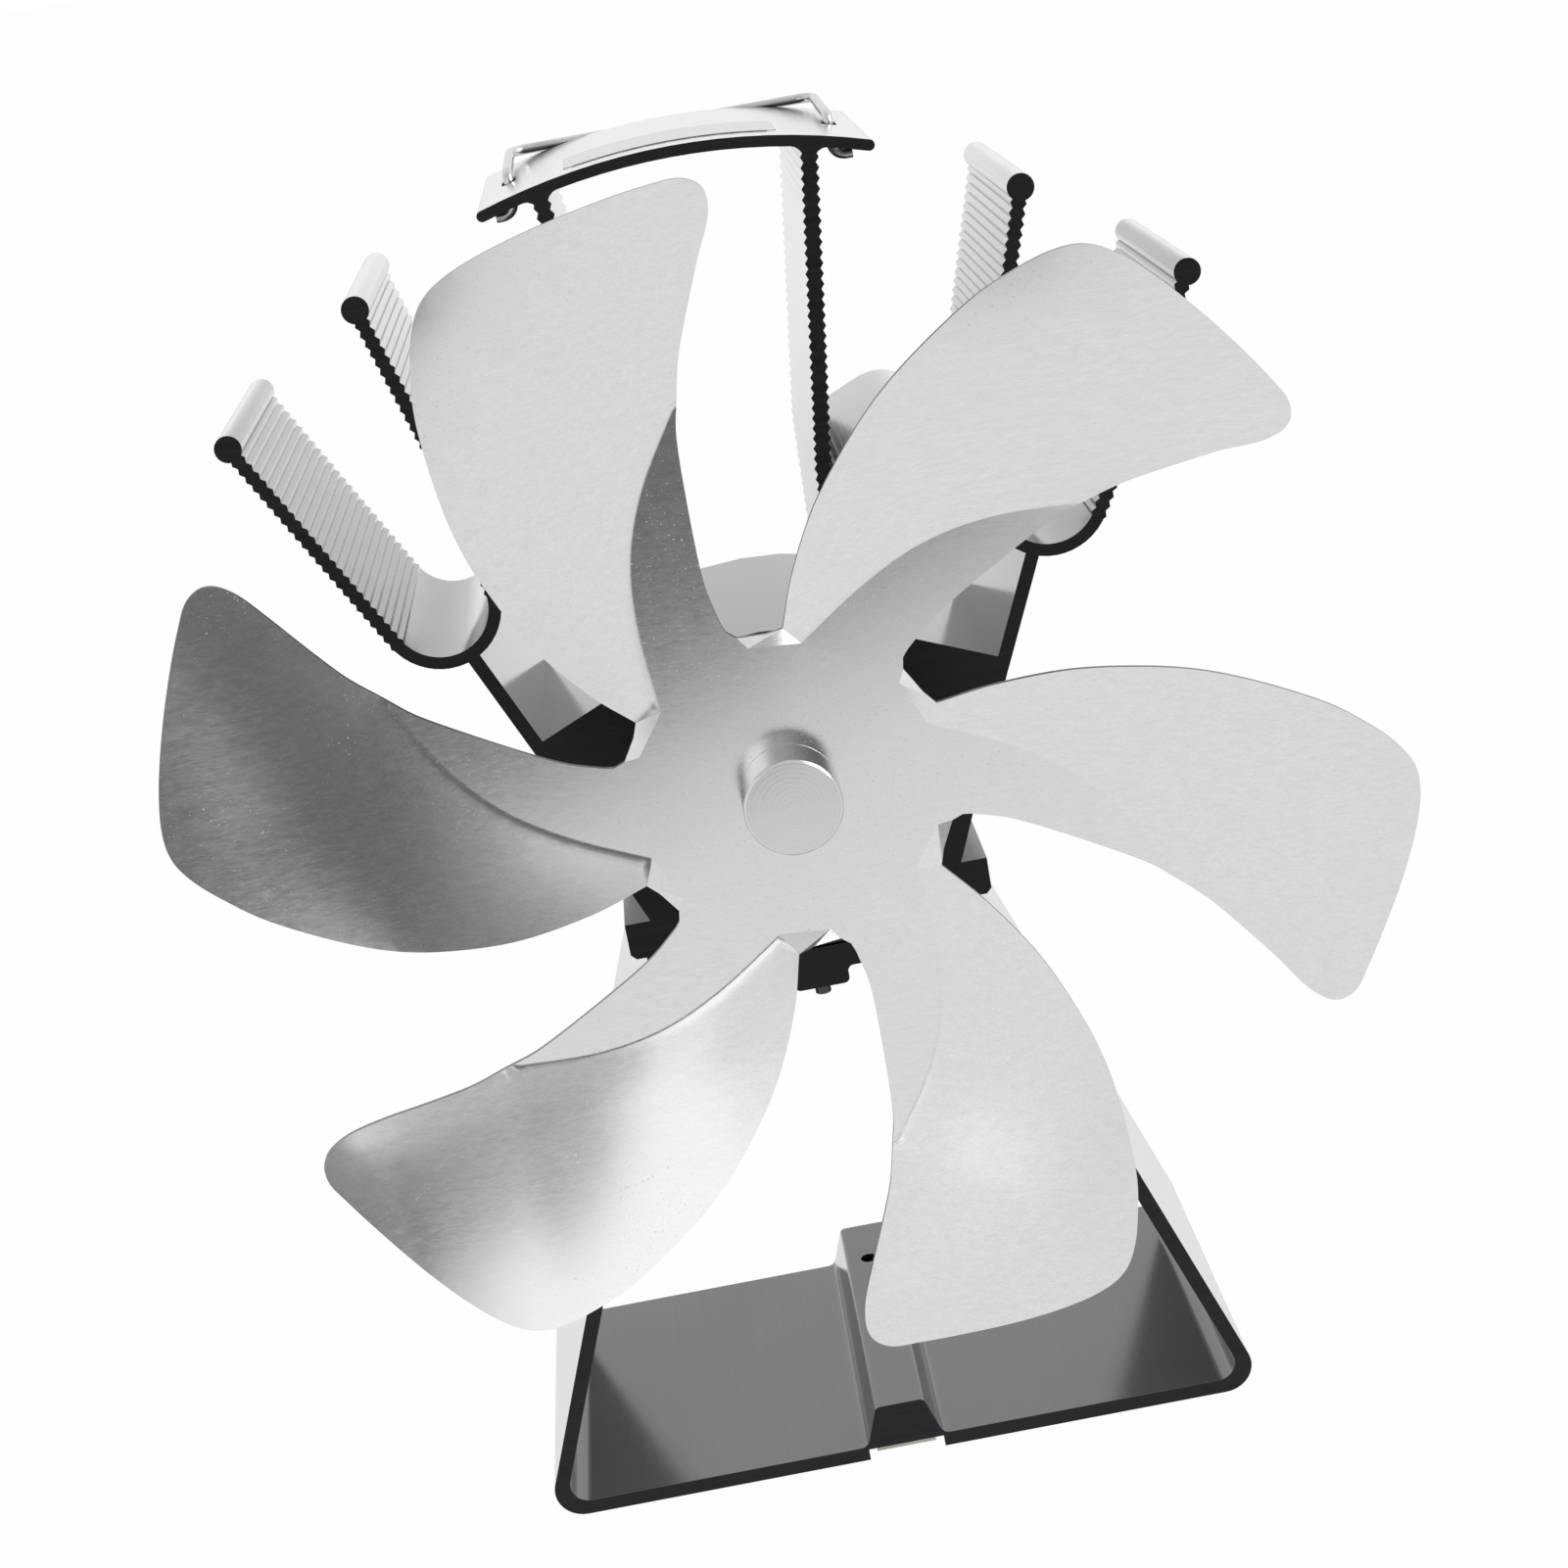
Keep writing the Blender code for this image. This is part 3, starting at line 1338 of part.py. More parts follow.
def build_armature(parts, tools):
    bore = SHAFT_RADIUS + FACE_GAP
    front = ARMATURE_MIDDLE - ARMATURE_LENGTH / 2
    back = front + ARMATURE_LENGTH
    core = ring("armature_core", front, back, bore, ARMATURE_RADIUS, parts, "screw_steel")
    bottom = ARMATURE_RADIUS - ARMATURE_SLOT_DEPTH
    winding_inner = bottom + FACE_GAP
    winding = ring(
        "motor_winding",
        back + FACE_GAP,
        back + FACE_GAP + WINDING_LENGTH,
        COMMUTATOR_RADIUS + SEAT_GAP,
        WINDING_RADIUS,
        parts,
        "copper",
    )
    far_end = ring(
        "winding_front",
        front - FACE_GAP - WINDING_LENGTH,
        front - FACE_GAP,
        COMMUTATOR_RADIUS + SEAT_GAP,
        WINDING_RADIUS,
        tools,
        "copper",
    )
    boolean(winding, far_end, "UNION", tools)
    for index in range(ARMATURE_SLOTS):
        angle = pi / 2 + tau * index / ARMATURE_SLOTS
        wide = armature_slot(angle, ARMATURE_SLOT, bottom, ARMATURE_RADIUS + CUT_OVERRUN)
        slot = prism("armature_slot", [wide], front - CUT_OVERRUN, ARMATURE_LENGTH + 2 * CUT_OVERRUN)
        boolean(core, slot, "DIFFERENCE", tools)
        bar_width = ARMATURE_SLOT - 2 * SEAT_GAP
        narrow = armature_slot(angle, bar_width, winding_inner, WINDING_RADIUS - FACE_GAP)
        start = front - WINDING_LENGTH / 2
        bar = prism("winding_bar", [narrow], start, ARMATURE_LENGTH + WINDING_LENGTH)
        boolean(winding, bar, "UNION", tools)
    collar = back + WINDING_LENGTH + 2 * FACE_GAP
    end = collar + COMMUTATOR_LENGTH
    ring("commutator", collar, end, bore, COMMUTATOR_RADIUS, parts, "copper")


def build_brushes(parts):
    back = MOTOR_BACK
    for name, side in (("brush_left", -1), ("brush_right", 1)):
        near = side * (COMMUTATOR_RADIUS + RUNNING_GAP)
        far = side * (COMMUTATOR_RADIUS + RUNNING_GAP + BRUSH_LENGTH)
        low = (min(near, far), back - COMMUTATOR_LENGTH, HUB_HEIGHT - BRUSH_WIDTH / 2)
        high = (max(near, far), back, HUB_HEIGHT + BRUSH_WIDTH / 2)
        place(block(name, low, high), parts, "graphite")


def build_shaft(parts):
    start = (0, BLADE_Y - KNOB_LENGTH * 2 / 3 + SEAT_GAP, HUB_HEIGHT)
    end = (0, MOTOR_BACK + END_CAP + END_CAP_BOSS + SEAT_GAP, HUB_HEIGHT)
    shaft = rod("motor_shaft", start, end, SHAFT_RADIUS)
    set_origin(shaft, (0, start[1], HUB_HEIGHT))
    place(smooth(shaft), parts, "screw_steel")


def build_leads(parts):
    height = (PLATFORM_TOP + SINK_BOTTOM) / 2
    module_edge = MODULE_Y + MODULE_SIDE / 2 + SEAT_GAP
    lug = MOTOR_BACK + END_CAP + TERMINAL_LENGTH + SEAT_GAP
    for name, side, finish in (("lead_black", -1, "black_lead"), ("lead_red", 1, "red_lead")):
        x = side * LEAD_X
        corners = [
            (x, module_edge, height),
            (x, lead_hole_y(), height),
            (x, lead_hole_y(), HUB_HEIGHT),
            (side * TERMINAL_X, lug, HUB_HEIGHT),
        ]
        points = bend(corners, (2 * LEAD_RADIUS, 3 * LEAD_RADIUS))
        wire(name, points, LEAD_RADIUS, parts, finish, 1)


def main():
    clear_scene()
    parts = collection("stove_fan")
    tools = collection("cutters")
    tools.hide_render = True
    build_base(parts, tools)
    build_bimetal(parts, tools)
    build_module(parts, tools)
    build_heat_sink(parts, tools)
    for name, y in zip(("clamp_screw_front", "clamp_screw_rear"), screw_places()):
        build_clamp_screw(name, y, parts, tools)
    build_handle(parts)
    build_blades(parts)
    build_knob(parts)
    build_flange(parts, tools)
    build_can(parts)
    build_bearings(parts)
    build_end_cap(parts, tools)
    build_magnets(parts)
    build_armature(parts, tools)
    build_brushes(parts)
    build_shaft(parts)
    build_leads(parts)


main()
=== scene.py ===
"""Looks of the stove fan: finishes, finer visible pieces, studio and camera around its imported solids."""

import json
import logging
import math
from dataclasses import dataclass, field
from enum import Enum
from typing import Sequence

import bmesh
import bpy
from mathutils import Matrix, Vector
from mathutils.geometry import delaunay_2d_cdt


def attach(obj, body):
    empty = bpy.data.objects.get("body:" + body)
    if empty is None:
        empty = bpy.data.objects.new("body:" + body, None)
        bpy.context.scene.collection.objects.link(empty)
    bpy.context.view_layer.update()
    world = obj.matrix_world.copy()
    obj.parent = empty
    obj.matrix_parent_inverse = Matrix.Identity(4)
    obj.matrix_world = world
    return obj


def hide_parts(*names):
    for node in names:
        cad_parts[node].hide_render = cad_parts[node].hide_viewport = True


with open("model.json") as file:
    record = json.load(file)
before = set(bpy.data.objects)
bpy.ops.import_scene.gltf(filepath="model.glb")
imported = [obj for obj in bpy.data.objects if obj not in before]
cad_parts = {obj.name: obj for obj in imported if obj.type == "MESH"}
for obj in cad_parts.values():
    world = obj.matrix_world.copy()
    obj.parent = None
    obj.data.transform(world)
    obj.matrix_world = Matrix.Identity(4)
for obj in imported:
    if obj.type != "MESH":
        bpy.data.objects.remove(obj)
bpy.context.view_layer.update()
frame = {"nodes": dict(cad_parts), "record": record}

LOG = logging.getLogger("stove_fan")

MM = 0.001
FRONT_Y = -13.75 * MM
SINK_DEPTH = 44.0 * MM
HUB_HEIGHT = 122.3 * MM
BLADE_Y = FRONT_Y - 22.1 * MM
PLATE_CREST = 209.2 * MM
PLATE_RISE = 4.0 * MM
PLATE_HALF = 26.9 * MM
MERGE_GAP = 1e-6


class Body(Enum):
    """The moving bodies of the frame."""

    FRAME = "frame"
    ROTOR = "fan_rotor"
    HANDLE = "handle"


# Shader building

Socket = bpy.types.NodeSocket


class NodeBench:
    """Adds and links nodes in one shader tree."""

    def __init__(self, tree: bpy.types.NodeTree) -> None:
        """Clears the tree.

        Args:
            tree: the node tree to fill.
        """
        self.tree = tree
        self.tree.nodes.clear()

    def add(self, kind: str, **settings: object) -> bpy.types.Node:
        """Adds a node.

        Args:
            kind: the node's Blender type name without the ShaderNode prefix.
            settings: attributes to set on the node.

        Returns:
            The new node.
        """
        prefix = "" if kind.startswith("NodeGroup") else "ShaderNode"
        node = self.tree.nodes.new(prefix + kind)
        for name, value in settings.items():
            setattr(node, name, value)
        return node

    def feed(self, socket: Socket, value: object) -> None:
        """Links a socket to an output, or sets its value.

        Args:
            socket: the input socket.
            value: an output socket, or the value to set.
        """
        if isinstance(value, Socket):
            self.tree.links.new(value, socket)
        else:
            socket.default_value = value

    def fed(self, kind: str, *values: object, **settings: object) -> bpy.types.Node:
        """Adds a node and feeds its inputs in order.

        Args:
            kind: the node's Blender type name without the ShaderNode prefix.
            values: numbers, vectors or sockets for its inputs.
            settings: attributes to set on the node.

        Returns:
            The new node.
        """
        node = self.add(kind, **settings)
        for socket, value in zip(node.inputs, values):
            self.feed(socket, value)
        return node

    def math(self, operation: str, *values: object, clamp: bool = False) -> Socket:
        """Adds a Math node.

        Args:
            operation: Blender's name of the operation.
            values: numbers or sockets for its inputs.
            clamp: whether the result stays between 0 and 1.

        Returns:
            The result's socket.
        """
        return self.fed("Math", *values, operation=operation, use_clamp=clamp).outputs[0]

    def remap(
        self, value: object, low: float, high: float, to_low: float, to_high: float, smooth: bool = True
    ) -> Socket:
        """Maps one range of a value onto another, clamped.

        Args:
            value: the socket to map.
            low: start of the range read.
            high: end of the range read.
            to_low: result at the start.
            to_high: result at the end.
            smooth: whether the step is eased.

        Returns:
            The mapped socket.
        """
        node = self.add("MapRange", interpolation_type="SMOOTHSTEP" if smooth else "LINEAR")
        names = ("Value", "From Min", "From Max", "To Min", "To Max")
        for name, given in zip(names, (value, low, high, to_low, to_high)):
            self.feed(node.inputs[name], given)
        return node.outputs["Result"]

    def traced(self, value: object, places: Sequence[float], results: Sequence[float]) -> Socket:
        """Reads a line through given points, level beyond its ends.

        Args:
            value: the socket to read at.
            places: the points' places, rising.
            results: the line's value at each place.

        Returns:
            The read value's socket.
        """
        low, high = min(results), max(results)
        node = self.add("ValToRGB")
        ramp = node.color_ramp
        ramp.elements.remove(ramp.elements[1])
        ramp.elements[0].position = 0.0
        for index, (place, result) in enumerate(zip(places, results)):
            at = (place - places[0]) / (places[-1] - places[0])
            element = ramp.elements.new(at) if index else ramp.elements[0]
            share = (result - low) / (high - low)
            element.color = (share, share, share, 1.0)
        self.feed(node.inputs[0], self.remap(value, places[0], places[-1], 0.0, 1.0, False))
        return self.remap(node.outputs[0], 0.0, 1.0, low, high, False)

    def blend(self, share: object, first: object, second: object) -> Socket:
        """Mixes two colours.

        Args:
            share: how much of the second.
            first: a colour or socket.
            second: a colour or socket.

        Returns:
            The mixed colour's socket.
        """
        node = self.add("Mix", data_type="RGBA")
        for socket, value in ((node.inputs[0], share), (node.inputs[6], first), (node.inputs[7], second)):
            ready = isinstance(value, (Socket, float))
            self.feed(socket, value if ready else (*value[:3], 1.0))
        return node.outputs[2]

    def product(self, *factors: object) -> Socket:
        """Multiplies values in turn.

        Args:
            factors: numbers or sockets, the first one a socket.

        Returns:
            The product's socket.
        """
        result = factors[0]
        for factor in factors[1:]:
            result = self.math("MULTIPLY", result, factor)
        return result

    def mix(self, share: object, first: object, second: object) -> Socket:
        """Mixes two values.

        Args:
            share: how much of the second.
            first: a value or socket.
            second: a value or socket.

        Returns:
            The mixed value's socket.
        """
        node = self.add("Mix", data_type="FLOAT")
        for socket, value in ((node.inputs[0], share), (node.inputs[2], first), (node.inputs[3], second)):
            self.feed(socket, value)
        return node.outputs[0]

    def noise(self, vector: object, scale: float, detail: float = 2.0, roughness: float = 0.5) -> Socket:
        """Adds a noise texture.

        Args:
            vector: where it is read.
            scale: its scale.
            detail: its octaves.
            roughness: how strong the finer octaves are.

        Returns:
            The value's socket.
        """
        node = self.add("TexNoise", noise_dimensions="3D")
        self.feed(node.inputs["Vector"], vector)
        self.feed(node.inputs["Scale"], scale)
        self.feed(node.inputs["Detail"], detail)
        self.feed(node.inputs["Roughness"], roughness)
        return node.outputs[0]

    def stretched(self, vector: object, scale: Sequence[float], turn: Sequence[float] = (0, 0, 0)) -> Socket:
        """Scales and turns a vector.

        Args:
            vector: the socket to change.
            scale: factors along x, y and z.
            turn: rotation in radians about x, y and z.

        Returns:
            The changed vector's socket.
        """
        node = self.add("Mapping", vector_type="POINT")
        self.feed(node.inputs["Vector"], vector)
        node.inputs["Scale"].default_value = scale
        node.inputs["Rotation"].default_value = turn
        return node.outputs[0]


class Effect(Enum):
    """Shared surface effects, each one node group."""

    GRAIN = "drawn_grain"
    SPECKS = "fine_specks"
    CLOUDS = "soft_clouds"
    TURNING = "turning_marks"


class EffectShelf:
    """Builds each shared effect once and places it in materials."""

    NUMBERS = {
        Effect.GRAIN: ("Scale",),
        Effect.SPECKS: ("Scale", "Rarity"),
        Effect.CLOUDS: ("Scale",),
        Effect.TURNING: ("Pitch",),
    }
    FINE_LINES = (55, 5200, 5200)
    BROAD_LINES = (22, 1500, 1500)
    FINE_SHARE = 0.62
    SPECK_PATCHES = 45.0
    SPECK_GATHERING = 0.18
    SPECK_CONTRAST = 14.0
    RING_UNEVENNESS = 0.9

    def __init__(self) -> None:
        """Starts with no group built."""
        self.made: dict[Effect, bpy.types.NodeTree] = {}

    def place(self, bench: NodeBench, effect: Effect, **values: object) -> bpy.types.Node:
        """Adds an effect to a material.

        Args:
            bench: the material's bench.
            effect: which effect.
            values: its inputs by name.

        Returns:
            The group node, with outputs Tone and Height.
        """
        node = bench.add("Group")
        node.node_tree = self.group(effect)
        for name, value in values.items():
            bench.feed(node.inputs[name], value)
        return node

    def group(self, effect: Effect) -> bpy.types.NodeTree:
        """Gives the node group of an effect, built at its first use.

        Args:
            effect: which effect.

        Returns:
            Its node group.
        """
        if effect not in self.made:
            tree = bpy.data.node_groups.new(effect.value, "ShaderNodeTree")
            tree.interface.new_socket("Vector", in_out="INPUT", socket_type="NodeSocketVector")
            for name in self.NUMBERS[effect]:
                tree.interface.new_socket(name, in_out="INPUT", socket_type="NodeSocketFloat")
            for name in ("Tone", "Height"):
                tree.interface.new_socket(name, in_out="OUTPUT", socket_type="NodeSocketFloat")
            bench = NodeBench(tree)
            given = bench.add("NodeGroupInput").outputs
            tone, height = getattr(self, effect.value)(bench, given)
            result = bench.add("NodeGroupOutput")
            bench.feed(result.inputs["Tone"], tone)
            bench.feed(result.inputs["Height"], height)
            self.made[effect] = tree
        return self.made[effect]

    def drawn_grain(self, bench: NodeBench, given: Sequence[Socket]) -> tuple:
        """Long fine lines along the vector's x axis.

        Args:
            bench: the group's bench.
            given: the group's inputs.

        Returns:
            The tone's and the height's sockets.
        """
        fine = bench.noise(bench.stretched(given["Vector"], self.FINE_LINES), given["Scale"], 3.0, 0.6)
        broad = bench.noise(bench.stretched(given["Vector"], self.BROAD_LINES), given["Scale"], 2.0, 0.5)
        fine_part = bench.math("MULTIPLY", fine, self.FINE_SHARE)
        broad_part = bench.math("MULTIPLY", broad, 1 - self.FINE_SHARE)
        return bench.remap(bench.math("ADD", fine_part, broad_part), 0.34, 0.66, 0.0, 1.0, False), fine

    def fine_specks(self, bench: NodeBench, given: Sequence[Socket]) -> tuple:
        """Rare small bright spots, thicker in some places.

        Args:
            bench: the group's bench.
            given: the group's inputs.

        Returns:
            The tone's and the height's sockets.
        """
        spots = bench.noise(given["Vector"], given["Scale"], 1.0)
        gathered = bench.product(bench.noise(given["Vector"], self.SPECK_PATCHES, 2.0), self.SPECK_GATHERING)
        limit = bench.math("SUBTRACT", given["Rarity"], gathered)
        tone = bench.math("MULTIPLY", bench.math("SUBTRACT", spots, limit), self.SPECK_CONTRAST, clamp=True)
        return tone, tone

    def soft_clouds(self, bench: NodeBench, given: Sequence[Socket]) -> tuple:
        """Broad soft patches, as handling leaves on metal.

        Args:
            bench: the group's bench.
            given: the group's inputs.

        Returns:
            The tone's and the height's sockets.
        """
        cloud = bench.noise(given["Vector"], given["Scale"], 4.0, 0.55)
        return bench.remap(cloud, 0.3, 0.7, 0.0, 1.0), cloud

    def turning_marks(self, bench: NodeBench, given: Sequence[Socket]) -> tuple:
        """Rings about the y axis of the vector.

        Args:
            bench: the group's bench.
            given: the group's inputs.

        Returns:
            The tone's and the height's sockets.
        """
        parts = bench.fed("SeparateXYZ", given["Vector"]).outputs
        flat = bench.fed("CombineXYZ", parts["X"], parts["Z"]).outputs[0]
        reach = bench.fed("VectorMath", flat, operation="LENGTH").outputs["Value"]
        turns = bench.math("DIVIDE", reach, given["Pitch"])
        wave = bench.math("SINE", bench.math("MULTIPLY", turns, math.tau))
        uneven = bench.noise(bench.fed("CombineXYZ", turns).outputs[0], self.RING_UNEVENNESS, 2.0)
        height = bench.math("MULTIPLY", bench.math("ADD", wave, 1.0), uneven)
        return bench.remap(height, 0.1, 0.9, 0.0, 1.0), height


SHELF = EffectShelf()
Color = tuple[float, float, float]


def lightened(color: Color, factor: float) -> Color:
    """A colour made lighter or darker by a factor, at most white."""
    return tuple(min(1.0, part * factor) for part in color)


class Coat(NodeBench):
    """A material's bench, with its shader's inputs and the place and facing that effects read."""

    def __init__(self, tree: bpy.types.NodeTree, metallic: float) -> None:
        """Adds the shader, the output and the texture coordinates.

        Args:
            tree: the material's node tree.
            metallic: how metallic the shader is.
        """
        super().__init__(tree)
        shader = self.add("BsdfPrincipled")
        shader.inputs["Metallic"].default_value = metallic
        self.feed(self.add("OutputMaterial").inputs["Surface"], shader.outputs["BSDF"])
        read = self.add("TexCoord").outputs
        self.inputs, self.place, self.facing = shader.inputs, read["Object"], read["Normal"]

    def effect(self, effect: Effect, **values: object) -> Sequence[Socket]:
        """Adds a shared effect, read at the piece's own place unless a Vector is given.

        Args:
            effect: which effect.
            values: its inputs by name.

        Returns:
            Its outputs, Tone and Height.
        """
        return SHELF.place(self, effect, **{"Vector": self.place, **values}).outputs

    def varied(self, tone: object, base: float, steps: Sequence[float]) -> Socket:
        """Lets a value vary with a tone.

        Args:
            tone: the tone's socket.
            base: the value.
            steps: what is added to it where the tone is 0 and where it is 1.

        Returns:
            The varied value's socket.
        """
        return self.remap(tone, 0.0, 1.0, base + steps[0], base + steps[1], False)


@dataclass(frozen=True)
class Finish:
    """A finish's colour and gloss, and how grain, stains and relief change them."""

    name: str
    color: Color
    roughness: float
    metallic: float = 1.0
    tones: tuple = (0.97, 1.03)
    stain_share: float = 0.3
    stain_tone: float = 0.88
    gloss_steps: tuple = (-0.02, 0.03)
    relief: tuple = (0.05, 0.00002)

    def material(self) -> bpy.types.Material:
        """Gives the finish's material, built at its first use.

        Returns:
            The material.
        """
        made = bpy.data.materials.get(self.name)
        if not made:
            made = bpy.data.materials.new(self.name)
            made.use_nodes = True
            self.dress(Coat(made.node_tree, self.metallic))
        return made

    def pattern(self, coat: Coat) -> tuple:
        """Adds the effects a plain finish is made of.

        Args:
            coat: the material's bench.

        Returns:
            The outputs of the effects that give its tone, its stains, and its gloss and relief.
        """
        raise NotImplementedError

    def dress(self, coat: Coat) -> None:
        """Feeds the shader from the finish's pattern.

        Args:
            coat: the material's bench.
        """
        grain, stain, fine = self.pattern(coat)
        gloss = coat.varied(fine["Tone"], self.roughness, self.gloss_steps)
        self.cover(coat, self.stained(coat, grain["Tone"], stain["Tone"]), gloss, fine["Height"])

    def stained(self, coat: Coat, tone: object, stain: object) -> Socket:
        """Lets the colour vary with a tone, and stains it.

        Args:
            coat: the material's bench.
            tone: the tone's socket.
            stain: the socket that tells where the stains are.

        Returns:
            The colour's socket.
        """
        color = coat.blend(tone, *(lightened(self.color, factor) for factor in self.tones))
        share = coat.product(stain, self.stain_share)
        return coat.blend(share, color, lightened(self.color, self.stain_tone))

    def cover(self, coat: Coat, color: object, gloss: object, height: object) -> None:
        """Feeds the shader's colour, roughness and relief.

        Args:
            coat: the material's bench.
            color: the colour's socket.
            gloss: the roughness's socket.
            height: the relief's socket.
        """
        raised = coat.add("Bump")
        coat.feed(raised.inputs["Height"], height)
        raised.inputs["Strength"].default_value, raised.inputs["Distance"].default_value = self.relief
        for name, value in (("Base Color", color), ("Roughness", gloss), ("Normal", raised.outputs[0])):
            coat.feed(coat.inputs[name], value)


@dataclass(frozen=True)
class AnodisedExtrusion(Finish):
    """Black anodised long faces with drawing lines, and duller sawn ends.

    The long faces mirror more the more they are seen at a slant. Where another polished face mirrors them,
    they are drawn darker, a painted shade in that reflection, and they mirror less sharply.
    """

    stain_share: float = 0.25
    stain_tone: float = 0.8
    gloss_steps: tuple = (-0.02, 0.02)
    cloud_scale: float = 26.0
    speck_scale: float = 2100.0
    speck_rarity: float = 0.83
    speck_shares: tuple = (0.25, 0.04)
    speck_color: Color = (0.45, 0.45, 0.45)
    sheen_level: float = 0.30
    slant_line: tuple = ((0.0, 0.60, 0.78, 0.86, 1.0), (0.0, 0.0, 0.28, 0.78, 0.62))
    painted_mirror_shade: float = 0.56
    second_blur: float = 0.16
    end_facing: tuple = (0.86, 0.94)
    end_color: Color = (0.010, 0.010, 0.0105)
    end_tones: tuple = (0.7, 1.7)
    end_roughness: float = 0.46
    end_gloss_steps: tuple = (-0.06, 0.08)
    end_metallic: float = 0.2
    end_grain: float = 0.8

    def dress(self, coat: Coat) -> None:
        """Mixes the long faces and the sawn ends by the way a face looks.

        Args:
            coat: the material's bench.
        """
        facing = coat.fed("SeparateXYZ", coat.facing).outputs["Y"]
        end = coat.remap(coat.math("ABSOLUTE", facing), *self.end_facing, 0.0, 1.0)
        second = coat.add("LightPath").outputs["Is Glossy Ray"]
        along = coat.stretched(coat.place, (1, 1, 1), (0, 0, math.pi / 2))
        drawn = coat.effect(Effect.GRAIN, Vector=along, Scale=1.0)
        sawn = coat.effect(Effect.GRAIN, Scale=self.end_grain)
        clouds = coat.effect(Effect.CLOUDS, Scale=self.cloud_scale)
        specks = coat.effect(Effect.SPECKS, Scale=self.speck_scale, Rarity=self.speck_rarity)
        slant = coat.add("LayerWeight")
        slant.inputs["Blend"].default_value = 0.5
        slanted = coat.traced(slant.outputs["Facing"], *self.slant_line)
        long_face = coat.blend(slanted, self.stained(coat, drawn["Tone"], clouds["Tone"]), (1.0, 1.0, 1.0))
        # painted shade: the long faces are drawn darker where they are seen mirrored in another polished
        # face
        long_face = coat.blend(coat.product(second, self.painted_mirror_shade), long_face, (0.0, 0.0, 0.0))
        ends = coat.blend(sawn["Tone"], *(lightened(self.end_color, factor) for factor in self.end_tones))
        dust = coat.product(specks["Tone"], coat.remap(end, 0.0, 1.0, *self.speck_shares, False))
        color = coat.blend(dust, coat.blend(end, long_face, ends), self.speck_color)
        smooth = coat.varied(drawn["Tone"], self.roughness, self.gloss_steps)
        smooth = coat.math("ADD", smooth, coat.product(second, self.second_blur))
        rough = coat.varied(sawn["Tone"], self.end_roughness, self.end_gloss_steps)
        metal = coat.remap(end, 0.0, 1.0, self.metallic, self.end_metallic, False)
        coat.feed(coat.inputs["Metallic"], metal)
        coat.inputs["Specular IOR Level"].default_value = self.sheen_level
        height = coat.mix(end, drawn["Height"], sawn["Height"])
        self.cover(coat, color, coat.mix(end, smooth, rough), height)


@dataclass(frozen=True)
class BrushedSheet(Finish):
    """Rolled sheet with short fine mottling, and specks where it was handled."""

    tones: tuple = (0.93, 1.06)
    stain_tone: float = 0.96
    relief: tuple = (0.04, 0.00001)
    mottle: tuple = (15.0, 0.8, 0.8)
    cloud_scale: float = 38.0
    handled: tuple = (0.38, 0.62, 0.30, 1.0)
    speck_scale: float = 2600.0
    speck_rarity: float = 0.79
    speck_share: float = 0.32
    speck_color: Color = (0.95, 0.95, 0.95)
    speck_roughness: float = 0.30

    def dress(self, coat: Coat) -> None:
        """Feeds grain, clouds and specks to colour, gloss and relief.

        Args:
            coat: the material's bench.
        """
        grain = coat.effect(Effect.GRAIN, Vector=coat.stretched(coat.place, self.mottle), Scale=1.0)
        clouds = coat.effect(Effect.CLOUDS, Scale=self.cloud_scale)
        specks = coat.effect(Effect.SPECKS, Scale=self.speck_scale, Rarity=self.speck_rarity)
        specked = coat.product(specks["Tone"], coat.remap(clouds["Tone"], *self.handled))
        color = self.stained(coat, grain["Tone"], clouds["Tone"])
        color = coat.blend(coat.product(specked, self.speck_share), color, self.speck_color)
        gloss = coat.varied(grain["Tone"], self.roughness, self.gloss_steps)
        gloss = coat.math("ADD", gloss, coat.product(specked, self.speck_roughness))
        self.cover(coat, color, gloss, grain["Height"])


@dataclass(frozen=True)
class TurnedMetal(Finish):
    """Metal turned on a lathe about the fan axis: rings and faint clouds."""

    pitch: float = 0.0007
    cloud_scale: float = 90.0

    def pattern(self, coat: Coat) -> tuple:
        """Adds the turning rings and the clouds.

        Args:
            coat: the material's bench.

        Returns:
            The outputs of the rings, the clouds and the rings.
        """
        from_axis = coat.fed("VectorMath", coat.place, (0, 0, HUB_HEIGHT), operation="SUBTRACT").outputs[0]
        rings = coat.effect(Effect.TURNING, Vector=from_axis, Pitch=self.pitch)
        return rings, coat.effect(Effect.CLOUDS, Scale=self.cloud_scale), rings


@dataclass(frozen=True)
class DrawnMetal(Finish):
    """Plain metal of small parts: faint clouds, fine specks and a soft grain."""

    tones: tuple = (0.84, 1.1)
    stain_tone: float = 0.5
    gloss_steps: tuple = (-0.07, 0.1)
    relief: tuple = (0.12, 0.00008)
    cloud_scale: float = 120.0
    speck_scale: float = 1500.0
    speck_rarity: float = 0.74

    def pattern(self, coat: Coat) -> tuple:
        """Adds the clouds and the specks."""
        clouds = coat.effect(Effect.CLOUDS, Scale=self.cloud_scale)
        return clouds, coat.effect(Effect.SPECKS, Scale=self.speck_scale, Rarity=self.speck_rarity), clouds


@dataclass(frozen=True)
class MattSolid(Finish):
    """Moulded or fired matt stuff: ceramic, graphite, rubber and plastic."""

    metallic: float = 0.0
    tones: tuple = (0.82, 1.12)
    stain_share: float = 0.35
    stain_tone: float = 0.7
    gloss_steps: tuple = (-0.08, 0.08)
    relief: tuple = (0.25, 0.00008)
    cloud_scale: float = 150.0
    pore_scale: float = 1400.0

    def pattern(self, coat: Coat) -> tuple:
        """Adds the clouds and the pores."""
        pores = coat.effect(Effect.CLOUDS, Scale=self.pore_scale)
        return coat.effect(Effect.CLOUDS, Scale=self.cloud_scale), pores, pores


